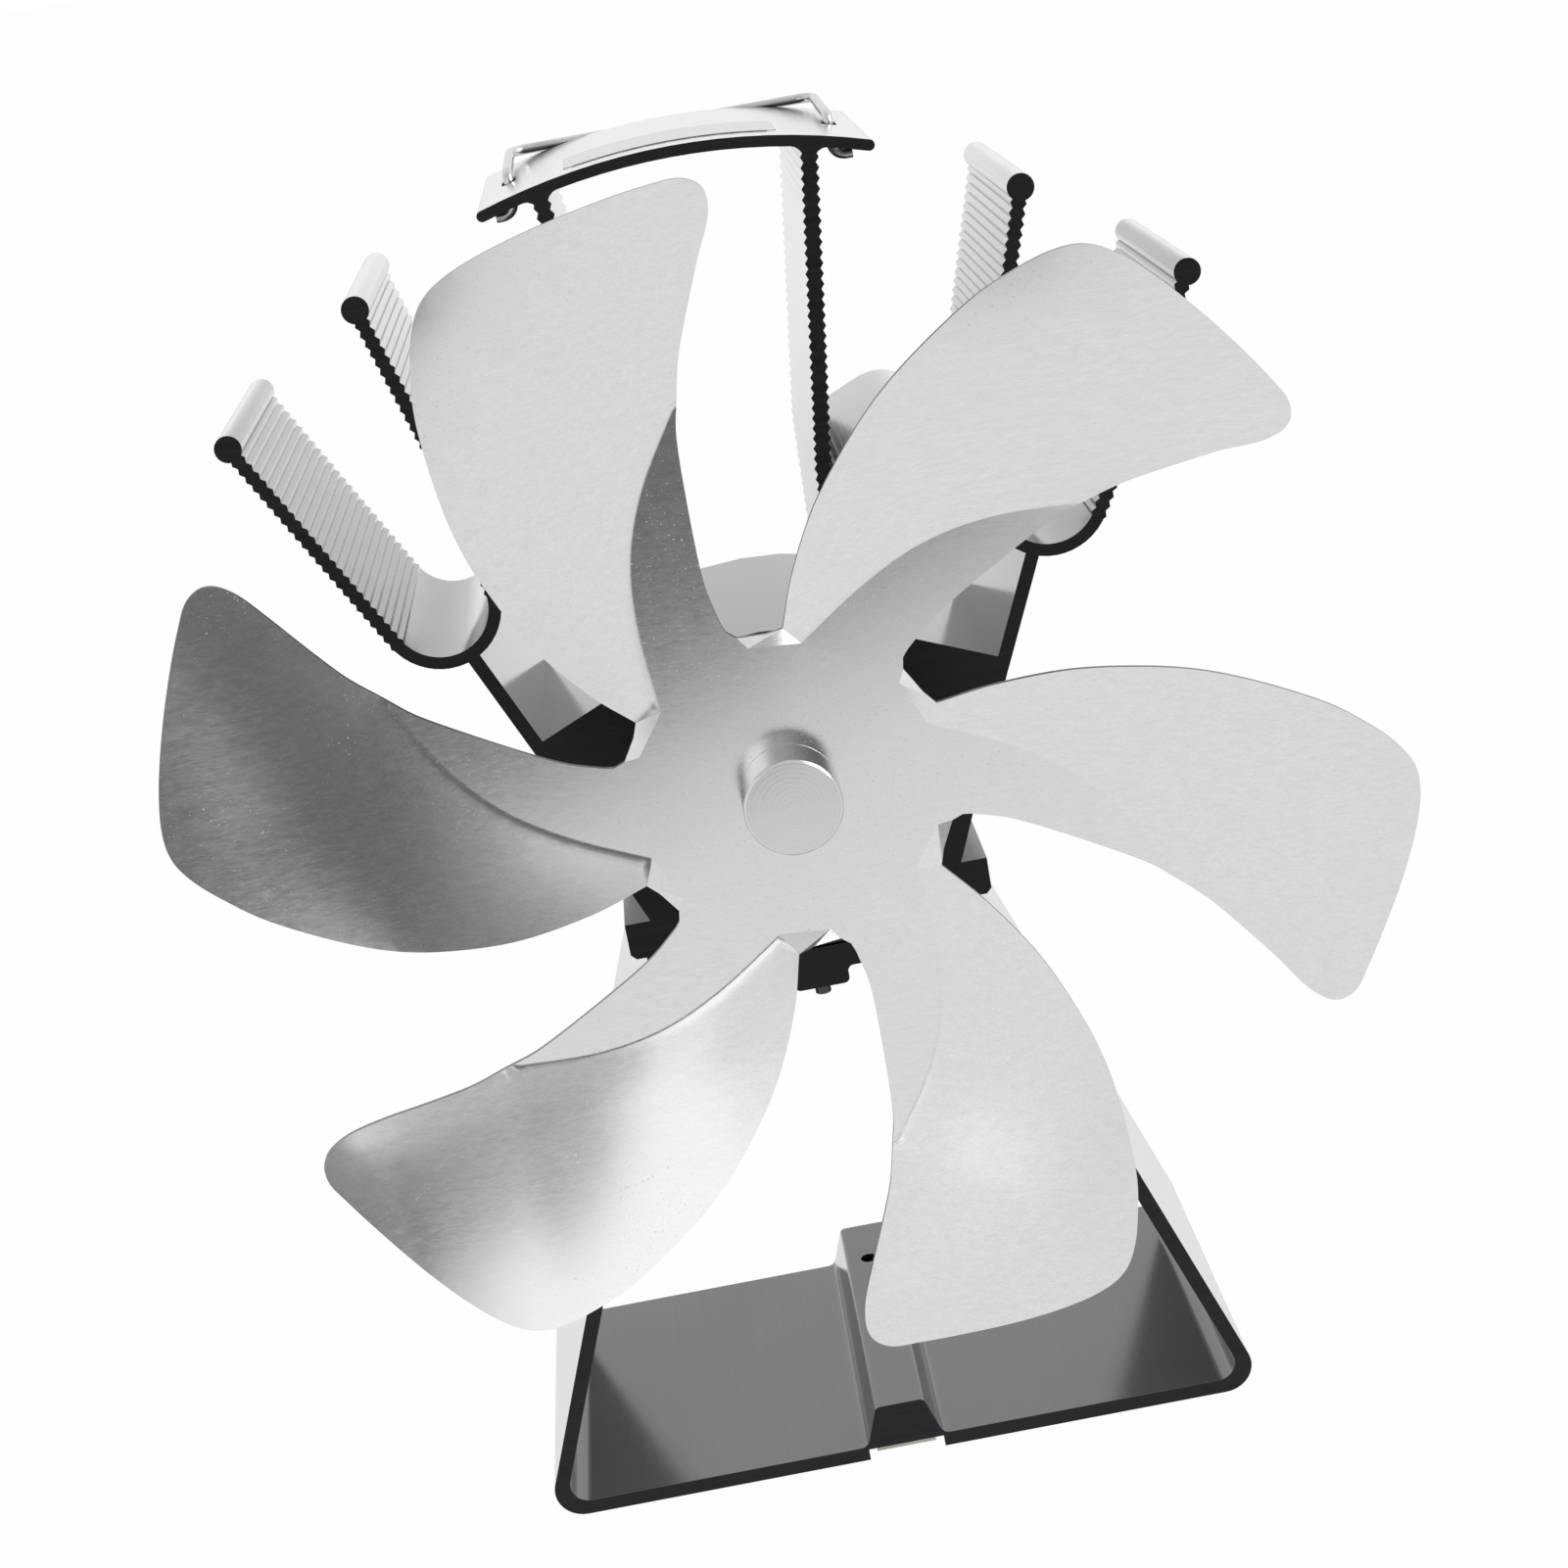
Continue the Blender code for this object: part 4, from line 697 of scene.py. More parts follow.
FINISHES: dict[str, Finish] = {
    "black_anodised": AnodisedExtrusion("anodised_extrusion", (0.21, 0.21, 0.213), 0.16, 0.95),
    "brushed_aluminium": BrushedSheet("brushed_fan_sheet", (0.82, 0.82, 0.82), 0.19, 1.0),
    "turned_aluminium": TurnedMetal("turned_hub", (0.75, 0.75, 0.75), 0.19),
    "steel_wire": DrawnMetal("bright_wire", (0.66, 0.66, 0.67), 0.20),
    "screw_steel": DrawnMetal("blackened_screw", (0.10, 0.10, 0.105), 0.38),
    "motor_steel": DrawnMetal("motor_can_steel", (0.52, 0.52, 0.53), 0.34),
    "bronze": DrawnMetal("sintered_bronze", (0.50, 0.33, 0.16), 0.45),
    "copper": DrawnMetal("winding_copper", (0.72, 0.34, 0.18), 0.35),
    "brass": DrawnMetal("stamped_brass", (0.72, 0.55, 0.24), 0.35),
    "bimetal": DrawnMetal("rolled_bimetal", (0.46, 0.44, 0.40), 0.38, cloud_scale=60.0),
    "ceramic": MattSolid("module_ceramic", (0.86, 0.86, 0.84), 0.6),
    "graphite": MattSolid("graphite_pad", (0.06, 0.06, 0.06), 0.7),
    "gasket": MattSolid("silicone_gasket", (0.035, 0.035, 0.035), 0.7),
    "dark_plastic": MattSolid("end_cap_plastic", (0.05, 0.05, 0.05), 0.5),
    "magnet": MattSolid("ferrite_magnet", (0.12, 0.12, 0.12), 0.65),
    "red_lead": MattSolid("red_lead_jacket", (0.55, 0.03, 0.02), 0.42, pore_scale=2600.0),
    "black_lead": MattSolid("black_lead_jacket", (0.03, 0.03, 0.03), 0.42, pore_scale=2600.0),
}
SHEARED_EDGE = DrawnMetal("sheared_sheet_edge", (0.30, 0.30, 0.30), 0.42)
LABEL_FINISH = BrushedSheet("blank_label_foil", (0.69, 0.69, 0.70), 0.26, 0.9, speck_share=0.1)


# Meshes


def linked(name: str, data: bpy.types.ID) -> bpy.types.Object:
    """Adds an object with the given data to the scene."""
    made = bpy.data.objects.new(name, data)
    bpy.context.scene.collection.objects.link(made)
    return made


def mesh_piece(name: str, shape: bmesh.types.BMesh, angle: float = 32.0) -> bpy.types.Object:
    """Makes a smooth-shaded object of a bmesh.

    Args:
        name: the piece's name.
        shape: its faces, freed here.
        angle: edges sharper than this, in degrees, stay sharp.

    Returns:
        The linked object.
    """
    bmesh.ops.recalc_face_normals(shape, faces=shape.faces)
    mesh = bpy.data.meshes.new(name)
    shape.to_mesh(mesh)
    shape.free()
    made = linked(name, mesh)
    mesh.shade_smooth()
    mesh.set_sharp_from_angle(angle=math.radians(angle))
    return made


def thicken(shape: bmesh.types.BMesh, way: Sequence[float]) -> None:
    """Gives a surface a thickness.

    Args:
        shape: the surface, which becomes one side.
        way: from it to the other side, in metres.
    """
    copied = bmesh.ops.extrude_face_region(shape, geom=shape.faces[:], use_keep_orig=True)
    moved = [item for item in copied["geom"] if isinstance(item, bmesh.types.BMVert)]
    bmesh.ops.translate(shape, verts=moved, vec=way)


def soften_edges(piece: bpy.types.Object, width: float, angle: float) -> None:
    """Breaks a piece's sharp edges with a small rounding.

    Args:
        piece: the piece.
        width: the rounding's width in metres.
        angle: edges sharper than this, in degrees, are rounded.
    """
    rounding = piece.modifiers.new("broken_edges", "BEVEL")
    rounding.limit_method = "ANGLE"
    rounding.angle_limit = math.radians(angle)
    rounding.width = width
    rounding.segments = 2
    rounding.use_clamp_overlap = True
    rounding.harden_normals = True
    keep_flats(piece)


def keep_flats(piece: bpy.types.Object) -> None:
    """Shades a piece's large flat faces as flat beside its small round ones."""
    weighing = piece.modifiers.new("flat_faces_stay_flat", "WEIGHTED_NORMAL")
    weighing.keep_sharp = True
    weighing.weight = 90


def dress(piece: bpy.types.Object, slot: str, body: Body, *stands_for: str) -> bpy.types.Object:
    """Gives a piece its finish, its body and the nodes it stands for.

    Args:
        piece: the visible piece.
        slot: the record's material slot.
        body: the body it rides on.
        stands_for: the frame's nodes it replaces.

    Returns:
        The piece.
    """
    piece.data.materials.clear()
    piece.data.materials.append(FINISHES[slot].material())
    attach(piece, body.value)
    if stands_for:
        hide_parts(*stands_for)
    LOG.info("piece %s rides on %s", piece.name, body.value)
    return piece


def smooth_path(points: Sequence[Vector], count: int) -> list[Vector]:
    """Reads points along a smooth curve through the given ones.

    Args:
        points: the points it passes through.
        count: how many spans to read.

    Returns:
        The points read, both ends included.
    """
    ends = [2 * points[0] - points[1], *points, 2 * points[-1] - points[-2]]
    spans = len(points) - 1
    out = []
    for index in range(count + 1):
        at = spans * index / count
        span = min(int(at), spans - 1)
        t = at - span
        p0, p1, p2, p3 = ends[span : span + 4]
        slope, bend, twist = p2 - p0, 2 * p0 - 5 * p1 + 4 * p2 - p3, 3 * p1 - p0 - 3 * p2 + p3
        out.append(0.5 * (2 * p1 + slope * t + bend * t**2 + twist * t**3))
    return out


def inside(outline: Sequence[Vector], point: Vector) -> bool:
    """Tells whether a point lies within a closed outline.

    Args:
        outline: the outline's corners in turn.
        point: the point.

    Returns:
        Whether it lies inside.
    """
    crossings = 0
    for first, last in zip(outline, [*outline[1:], outline[0]]):
        if (first[1] > point[1]) != (last[1] > point[1]):
            share = (point[1] - first[1]) / (last[1] - first[1])
            crossings += point[0] < first[0] + (last[0] - first[0]) * share
    return crossings % 2 == 1


def distance_to(line: Sequence[Vector], point: Vector) -> float:
    """Gives the distance from a point to a chain of points.

    Args:
        line: the chain's points in turn.
        point: the point.

    Returns:
        The distance in metres.
    """
    best = math.inf
    for first, last in zip(line, line[1:]):
        run = last - first
        share = max(0.0, min(1.0, (point - first).dot(run) / run.length_squared))
        best = min(best, (point - first - run * share).length)
    return best


def plate_top(x: float) -> float:
    """Gives the height of the arched plate's top at a distance from its middle."""
    return PLATE_CREST - PLATE_RISE * (x / PLATE_HALF) ** 2


# Sub-assemblies


@dataclass
class FanSheet:
    """The stamped sheet: a flat hub and spines, and six paddles bent forward along creases."""

    reach: float = 85.3 * MM
    thickness: float = 0.8 * MM
    bore: float = 1.1 * MM
    blades: int = 6
    first_angle: float = 27.0
    slope: float = 0.54
    flat_reach: float = 52.0 * MM
    grid: float = 2.4 * MM
    row_share: float = 0.87
    border_gap: float = 0.45
    bend_gap: float = 0.4
    rim_gap: float = 0.5
    crease_steps: int = 48
    rim_steps: int = 168
    flat_steps: int = 72
    bore_steps: int = 48
    plan_gap: float = 1e-8
    smooth_angle: float = 14.0
    edge_angle: float = 60.0
    crease: tuple = ((0.244, -0.056), (0.363, 0.010), (0.455, 0.081), (0.526, 0.174), (0.588, 0.304))
    crease_on: tuple = (0.690, 0.490)
    notch: tuple = (0.212, -0.136)
    lip: tuple = (0.246, -0.116)
    lip_side: tuple = (0.223, -0.158)
    lip_rise_share: float = 0.45
    bend_shares: tuple = (0.7, 1.0, 1.0, 1.0, 0.45, 1.0)
    bend_start_share: float = 0.5
    sprung_blade: int = 3
    sprung_shares: tuple = (0.472, 0.909, 0.44, 0.715, 0.591)
    sprung_reach: float = 10.0 * MM
    sprung_lean: tuple = (0.19, 0.52)
    bend_radius: float = 1.2 * MM
    bend_rows: tuple = (0.3 * MM, 0.65 * MM, 1.1 * MM, 1.8 * MM)
    edge: float = 0.1 * MM
    rim_limit: float = 0.35
    face_limit: float = 0.7
    even_reach: float = 14.0 * MM
    even_start: float = 1.5 * MM
    probe_step: float = 0.2 * MM
    rim: tuple = (
        (0.263, -0.095), (0.356, -0.111), (0.475, -0.115), (0.587, -0.099), (0.677, -0.075), (0.765, -0.036),
        (0.857, 0.017), (0.912, 0.062), (0.955, 0.107), (0.979, 0.151), (0.981, 0.203), (0.964, 0.275),
        (0.933, 0.362), (0.897, 0.445), (0.867, 0.505), (0.840, 0.548), (0.805, 0.562), (0.768, 0.538),
        (0.727, 0.478), (0.675, 0.404), (0.636, 0.353),
    )
    flat_edge: tuple = ((0.543, 0.263), (0.441, 0.194), (0.351, 0.139), (0.290, 0.114))
    gullet: tuple = ((0.267, 0.108),)
    points: list = field(default_factory=list)
    rises: list = field(default_factory=list)
    springs: list = field(default_factory=list)
    edges: list = field(default_factory=list)
    outline: list = field(default_factory=list)

    def at(self, shares: Sequence[float]) -> Vector:
        """A point of the blade from its shares of the reach."""
        return Vector(shares) * self.reach

    def crease_points(self) -> list[Vector]:
        """The smooth crease from root to edge."""
        return smooth_path([self.at(pair) for pair in self.crease], self.crease_steps)

    def rim_points(self) -> list[Vector]:
        """The paddle's smooth free edge."""
        return smooth_path([self.at(pair) for pair in (*self.rim, self.crease[-1])], self.rim_steps)

    def border_points(self) -> list[Vector]:
        """The paddle's whole border: the crease, then back along the free edge."""
        return self.crease_points() + self.rim_points()[::-1]

    def bend_points(self) -> list[Vector]:
        """Where the sheet leaves the flat."""
        return [*self.crease_points(), self.at(self.crease_on)]

    def rise(self, line: Sequence[Vector], point: Vector) -> float:
        """Gives how far forward a paddle's point stands when it is fully bent.

        Args:
            line: the bend's line.
            point: the place in the blade's own plan.

        Returns:
            The distance in metres.
        """
        away = min(distance_to(line, point), self.flat_reach)
        if away < self.bend_radius:
            away = away**2 / (2 * self.bend_radius)
        else:
            away -= self.bend_radius / 2
        return self.slope * away * (1 - away / (2 * self.flat_reach))

    def bend_share(self, index: int, point: Vector) -> float:
        """Gives how much of the full bend a blade keeps at a point.

        Args:
            index: the blade's number.
            point: the place in the blade's own plan.

        Returns:
            The share, 1 for the full bend.
        """
        out = (point[0] / self.reach - self.bend_start_share) / (1 - self.bend_start_share)
        out = max(0.0, min(1.0, out))
        return 1 - (1 - self.bend_shares[index]) * out**2 * (3 - 2 * out)

    def spring(self, index: int, point: Vector) -> float:
        """Gives how far one blade stands off the pressed shape, as if it had been knocked.

        Args:
            index: the blade's number.
            point: the place in the blade's own plan.

        Returns:
            The distance forward in metres.
        """
        if index != self.sprung_blade:
            return 0.0
        end = self.at(self.crease[-1])
        along = (self.at(self.crease_on) - end).normalized()
        across = Vector((-along[1], along[0]))
        u, v = (point - end).dot(along) / self.sprung_reach, (point - end).dot(across) / self.sprung_reach
        s0, s1, s2, s3, s4 = self.sprung_shares
        share = min(1.0, distance_to(self.bend_points(), point) / self.sprung_reach)
        lift = s0 * u + s1 * v + (s2 * u * u + s3 * u * v + s4 * v * v) / 2
        return share**2 * (3 - 2 * share) * lift * MM

    def on_sheet(self, index: int, point: Vector) -> Vector:
        """A blade's own point in the whole sheet's x and z."""
        angle = math.radians(self.first_angle + 360 / self.blades * index)
        out, side = Vector((math.sin(angle), math.cos(angle))), Vector((math.cos(angle), -math.sin(angle)))
        return out * point[0] + side * point[1]

    def add(self, index: int, point: Vector, rise: float = 0.0) -> int:
        """Adds one point of the plan.

        Args:
            index: the blade's number.
            point: the place in the blade's own plan.
            rise: how far forward it stands when it is fully bent.

        Returns:
            The point's number.
        """
        self.points.append(self.on_sheet(index, point))
        self.rises.append(rise * self.bend_share(index, point))
        self.springs.append(self.spring(index, point) if rise else 0.0)
        return len(self.points) - 1

    def chain(self, corners: Sequence[int]) -> None:
        """Adds the edges between numbered points in turn."""
        self.edges += list(zip(corners, corners[1:]))

    def inner_spots(self) -> list[tuple[Vector, float]]:
        """Lays rows of points over one paddle.

        Returns:
            Each point and its rise.
        """
        crease, border, line = self.crease_points(), self.border_points(), self.bend_points()
        count = math.ceil(self.reach / self.grid)
        spots = []
        for across in range(-count, count + 1):
            for up in range(-count, count + 1):
                spot = Vector((across + 0.5 * (up % 2), up * self.row_share)) * self.grid
                clear = distance_to(border + border[:1], spot) > self.border_gap * self.grid
                if not clear or not inside(border, spot):
                    continue
                if distance_to(crease, spot) > self.bend_rows[-1] + self.bend_gap * self.grid:
                    spots.append((spot, self.rise(line, spot)))
        return spots

    def bend_spots(self) -> list[list[Vector]]:
        """Lays rows of points beside the crease that round the bend.

        Returns:
            The rows, from the crease outwards.
        """
        crease, rim, border = self.crease_points(), self.rim_points(), self.border_points()
        rows = []
        for away in self.bend_rows:
            row = []
            for before, here, after in zip(crease, crease[1:], crease[2:]):
                run = (after - before).normalized()
                spot = here + Vector((run[1], -run[0])) * away
                if inside(border, spot) and distance_to(rim, spot) > self.rim_gap * away:
                    row.append(spot)
            rows.append(row)
        return rows

    def plan(self) -> None:
        """Lays out the plan of all the blades."""
        line = self.bend_points()
        crease_at, rim_at = self.crease_points(), self.rim_points()
        spots = self.inner_spots()
        rows = self.bend_spots()
        corners = (self.rim[-1], self.crease[-1], *self.flat_edge, self.gullet[0])
        skipped = self.flat_steps // (len(corners) - 1) + 1
        flat_at = smooth_path([self.at(pair) for pair in corners], self.flat_steps)[skipped:-1]
        for index in range(self.blades):
            crease = [self.add(index, point) for point in crease_at]
            rim = [self.add(index, point, self.rise(line, point)) for point in rim_at[:-1]] + crease[-1:]
            notch = self.add(index, self.at(self.notch))
            lip_at = self.at(self.lip)
            lip = self.add(index, lip_at, self.lip_rise_share * self.rise(line, lip_at))
            side = self.add(index, self.at(self.lip_side))
            self.outline += [self.add(index - 1, self.at(pair)) for pair in self.gullet]
            self.outline += [side, lip, *rim]
            self.outline += [self.add(index, point) for point in flat_at]
            self.chain([side, notch, *crease])
            self.chain([lip, notch, rim[0], crease[0]])
            for row in rows:
                self.chain([self.add(index, spot, self.rise(line, spot)) for spot in row])
            for spot, rise in spots:
                self.add(index, spot, rise)

    def even_normal(self, index: int, point: Vector, line: Sequence[Vector]) -> Vector:
        """The way a paddle's back would face if its bend ran straight on past the crease.

        Args:
            index: the blade's number.
            point: the place in the blade's own plan.
            line: the bend's line, run straight on.

        Returns:
            The unit normal in the frame.
        """

        def height(at: Vector) -> float:
            """How far forward the even paddle stands."""
            return self.rise(line, at) * self.bend_share(index, at) + self.spring(index, at)

        slopes = []
        for step in (Vector((self.probe_step, 0.0)), Vector((0.0, self.probe_step))):
            slopes.append((height(point + step) - height(point - step)) / (2 * self.probe_step))
        lean = self.on_sheet(index, Vector(slopes))
        return Vector((lean.x, 1.0, lean.y)).normalized()

    def even_corners(self, sheet: bpy.types.Object) -> None:
        """Shades each paddle's outer corner as one even face with the paddle beside it.

        Args:
            sheet: the sheet, whose edge rounding is made final here.
        """
        end, on = self.at(self.crease[-1]), self.at(self.crease_on)
        along = (on - end).normalized()
        line = [*self.crease_points(), on + along * self.even_reach]
        border = self.border_points()
        mesh = bpy.data.meshes.new_from_object(sheet.evaluated_get(bpy.context.evaluated_depsgraph_get()))
        sheet.modifiers.clear()
        sheet.data = mesh
        changed = {}
        for vert in mesh.vertices:
            spot = Vector((vert.co.x, vert.co.z - HUB_HEIGHT))
            for index in range(self.blades):
                point = Vector([spot.dot(self.on_sheet(index, axis)) for axis in ((1.0, 0.0), (0.0, 1.0))])
                past = (point - end).dot(along) - (on - end).length
                if past > 0 and (inside(border, point) or distance_to(border, point) < self.even_start):
                    share = min(1.0, past / self.even_start)
                    changed[vert.index] = (share, self.even_normal(index, point, line))
        normals = [corner.vector.copy() for corner in mesh.corner_normals]
        for face in mesh.polygons:
            if abs(face.normal.y) < self.face_limit:
                continue
            side = math.copysign(1.0, face.normal.y)
            for corner in face.loop_indices:
                share, even = changed.get(mesh.loops[corner].vertex_index, (0.0, None))
                if even:
                    normals[corner] = normals[corner].lerp(even * side, share).normalized()
        mesh.normals_split_custom_set(normals)
        LOG.info("%d points of the paddles' corners are shaded evenly", len(changed))

    def build(self) -> bpy.types.Object:
        """Builds and dresses the sheet.

        Returns:
            The piece.
        """
        self.plan()
        angles = [math.tau * step / self.bore_steps for step in range(self.bore_steps)]
        ring = [Vector((math.cos(angle), math.sin(angle))) * self.bore for angle in angles]
        first = len(self.points)
        self.points += ring
        self.rises += [0.0] * len(ring)
        self.springs += [0.0] * len(ring)
        self.chain([*range(first, first + len(ring)), first])
        self.chain([*self.outline, self.outline[0]])
        made = delaunay_2d_cdt(self.points, self.edges, [], 1, self.plan_gap)
        outline = [self.points[corner] for corner in self.outline]
        shape = bmesh.new()
        front = []
        for at, source in zip(made[0], made[3]):
            spring = self.springs[source[0]]
            x, z = at.x + self.sprung_lean[0] * spring, at.y + self.sprung_lean[1] * spring
            front.append(shape.verts.new((x, BLADE_Y - self.rises[source[0]] - spring, z + HUB_HEIGHT)))
        for face in made[2]:
            middle = sum((made[0][corner] for corner in face), Vector((0, 0))) / 3
            if inside(outline, middle) and not inside(ring, middle):
                shape.faces.new([front[corner] for corner in face])
        bmesh.ops.delete(shape, geom=[vert for vert in shape.verts if not vert.link_faces], context="VERTS")
        thicken(shape, (0, self.thickness, 0))
        sheet = mesh_piece("fan_sheet", shape, self.smooth_angle)
        soften_edges(sheet, self.edge, self.edge_angle)
        dress(sheet, "brushed_aluminium", Body.ROTOR, "fan_blades")
        sheet.data.materials.append(SHEARED_EDGE.material())
        for face in sheet.data.polygons:
            face.material_index = int(abs(face.normal.y) < self.rim_limit)
        self.even_corners(sheet)
        return sheet


@dataclass
class HubKnob:
    """The turned knob in front of the sheet."""

    radius: float = 6.9 * MM
    length: float = 7.35 * MM
    chamfer: float = 0.35 * MM
    bore: float = 1.06 * MM
    steps: int = 96
    seat_gap: float = 0.04 * MM
    soft: float = 0.08 * MM
    merge_gap: float = 1e-7
    smooth_angle: float = 24.0

    def build(self) -> bpy.types.Object:
        """Turns the knob from its profile and dresses it.

        Returns:
            The piece.
        """
        back, front = BLADE_Y - self.seat_gap, BLADE_Y - self.length
        soft = self.soft
        profile = [
            (front, 0.0),
            (front, self.radius - self.chamfer - soft),
            (front + soft * 0.4, self.radius - self.chamfer),
            (front + self.chamfer, self.radius - soft * 0.4),
            (front + self.chamfer + soft, self.radius),
            (back - soft, self.radius),
            (back, self.radius - soft),
            (back, self.bore),
            (front + self.length / 3, self.bore),
            (front + self.length / 3, 0.0),
        ]
        shape = bmesh.new()
        corners = [shape.verts.new((0, y, HUB_HEIGHT + radius)) for y, radius in profile]
        chain = [shape.edges.new(pair) for pair in zip(corners, corners[1:])]
        turning = {"cent": (0, 0, HUB_HEIGHT), "axis": (0, 1, 0), "angle": math.tau, "steps": self.steps}
        bmesh.ops.spin(shape, geom=corners + chain, **turning, use_merge=True)
        bmesh.ops.remove_doubles(shape, verts=shape.verts, dist=self.merge_gap)
        knob = mesh_piece("turned_knob", shape, self.smooth_angle)
        keep_flats(knob)
        return dress(knob, "turned_aluminium", Body.ROTOR, "hub_knob")


@dataclass
class CarryHandle:
    """The bent wire handle, folded back."""

    wire: float = 0.75 * MM
    leg_x: float = 23.3 * MM
    pivot_y: float = FRONT_Y + 21.0 * MM
    plate: float = 1.55 * MM
    lift: float = 1.15 * MM
    hook: float = 1.9 * MM
    hook_reach: float = 0.9 * MM
    hook_drop: float = 1.3 * MM
    grip_gap: float = 0.5 * MM
    grip_rise: float = 0.6 * MM
    bends: tuple = (1.9 * MM, 1.4 * MM, 2.6 * MM, 2.6 * MM, 1.4 * MM, 1.9 * MM)
    bend_steps: int = 10
    round_steps: int = 5
    smooth_angle: float = 50.0

    def route(self) -> list[Vector]:
        """Gives the wire's middle line with its bends rounded.

        Returns:
            The line's points from end to end.
        """
        top = plate_top(self.leg_x)
        hook_z = top - self.plate - self.hook_drop - self.hook
        grip_y = FRONT_Y + SINK_DEPTH + self.wire + self.grip_gap
        side = [
            (self.leg_x + self.hook + self.hook_reach, self.pivot_y, hook_z),
            (self.leg_x, self.pivot_y, hook_z),
            (self.leg_x, self.pivot_y, top + self.lift),
            (self.leg_x, grip_y, top + self.lift + self.grip_rise),
        ]
        corners = [Vector((-x, y, z)) for x, y, z in side] + [Vector(corner) for corner in side[::-1]]
        points = [corners[0]]
        for index in range(1, len(corners) - 1):
            corner = corners[index]
            before = (corners[index - 1] - corner).normalized()
            after = (corners[index + 1] - corner).normalized()
            half = before.angle(after) / 2
            radius = self.bends[index - 1]
            center = corner + (before + after).normalized() * (radius / math.sin(half))
            first = corner + before * (radius / math.tan(half)) - center
            last = corner + after * (radius / math.tan(half)) - center
            turn = first.angle(last)
            for step in range(self.bend_steps + 1):
                share = step / self.bend_steps
                start, stop = (math.sin(turn * part) / math.sin(turn) for part in (1 - share, share))
                points.append(center + first * start + last * stop)
        return points + [corners[-1]]

    def build(self) -> bpy.types.Object:
        """Bends the wire and dresses it.

        Returns:
            The piece.
        """
        curve = bpy.data.curves.new("handle_wire", "CURVE")
        curve.dimensions = "3D"
        curve.bevel_depth = self.wire
        curve.bevel_resolution = self.round_steps
        curve.use_fill_caps = True
        spline = curve.splines.new("POLY")
        points = self.route()
        spline.points.add(len(points) - 1)
        for target, point in zip(spline.points, points):
            target.co = (*point, 1)
        guide = linked("handle_route", curve)
        bpy.context.view_layer.update()
        graph = bpy.context.evaluated_depsgraph_get()
        mesh = bpy.data.meshes.new_from_object(guide.evaluated_get(graph))
        bpy.data.objects.remove(guide, do_unlink=True)
        shape = bmesh.new()
        shape.from_mesh(mesh)
        bmesh.ops.remove_doubles(shape, verts=shape.verts, dist=MERGE_GAP)
        piece = mesh_piece("handle_wire", shape, self.smooth_angle)
        return dress(piece, "steel_wire", Body.HANDLE, "carry_handle")


@dataclass
class BlankLabel:
    """A blank foil label on the arched plate."""

    half_length: float = 15.0 * MM
    front: float = FRONT_Y + 6.0 * MM
    depth: float = 14.0 * MM
    thickness: float = 0.12 * MM
    corner: float = 1.2 * MM
    seat_gap: float = 0.012 * MM
    spans: int = 24
    smooth_angle: float = 30.0

    def build(self) -> bpy.types.Object:
        """Lays the foil over the plate's arch and dresses it.

        Returns:
            The piece.
        """
        shape = bmesh.new()
        rows = []
        for row in (0, 1):
            y = self.front + row * self.depth
            line = []
            for index in range(self.spans + 1):
                x = self.half_length * (2 * index / self.spans - 1)
                inset = self.corner if index in (0, self.spans) else 0.0
                z = plate_top(x) + self.seat_gap
                line.append(shape.verts.new((x, y + (inset if row == 0 else -inset), z)))
            rows.append(line)
        for index in range(self.spans):
            shape.faces.new((rows[0][index], rows[0][index + 1], rows[1][index + 1], rows[1][index]))
        thicken(shape, (0, 0, self.thickness))
        label = dress(mesh_piece("blank_label", shape, self.smooth_angle), "brushed_aluminium", Body.FRAME)
        label.data.materials[0] = LABEL_FINISH.material()
        return label


@dataclass
class EdgedExtrusion:
    """An extrusion whose edges are lightly broken, as anodising leaves them."""

    node: str
    edge: float = 0.16 * MM
    angle: float = 28.0
    flat_angle: float = 1.0

    def build(self) -> bpy.types.Object:
        """Copies the solid's shape, joins its flat faces and breaks its edges.

        Returns:
            The piece.
        """
        shape = bmesh.new()
        shape.from_mesh(frame["nodes"][self.node].data)
        bmesh.ops.remove_doubles(shape, verts=shape.verts, dist=MERGE_GAP)
        limit = math.radians(self.flat_angle)
        bmesh.ops.dissolve_limit(
            shape, angle_limit=limit, verts=shape.verts, edges=shape.edges, use_dissolve_boundaries=False
        )
        piece = mesh_piece(f"{self.node}_edged", shape, self.angle)
        soften_edges(piece, self.edge, self.angle)
        return dress(piece, "black_anodised", Body.FRAME, self.node)


@dataclass
class FrameParts:
    """The frame's own nodes that are shown as they are, in better finishes."""

    hidden: tuple = ("fan_blades", "hub_knob", "carry_handle", "heat_sink", "base_frame")

    def build(self) -> None:
        """Gives each shown node the finish of its slot."""
        slots = {entry["node"]: entry["material_slot"] for entry in frame["record"]["subparts"]}
        for name, node in frame["nodes"].items():
            if name in self.hidden:
                continue
            finish = FINISHES[slots[name]].material()
            if not node.data.materials:
                node.data.materials.append(finish)
            for place in range(len(node.data.materials)):
                node.data.materials[place] = finish
            LOG.info("node %s gets %s", name, finish.name)


# Studio


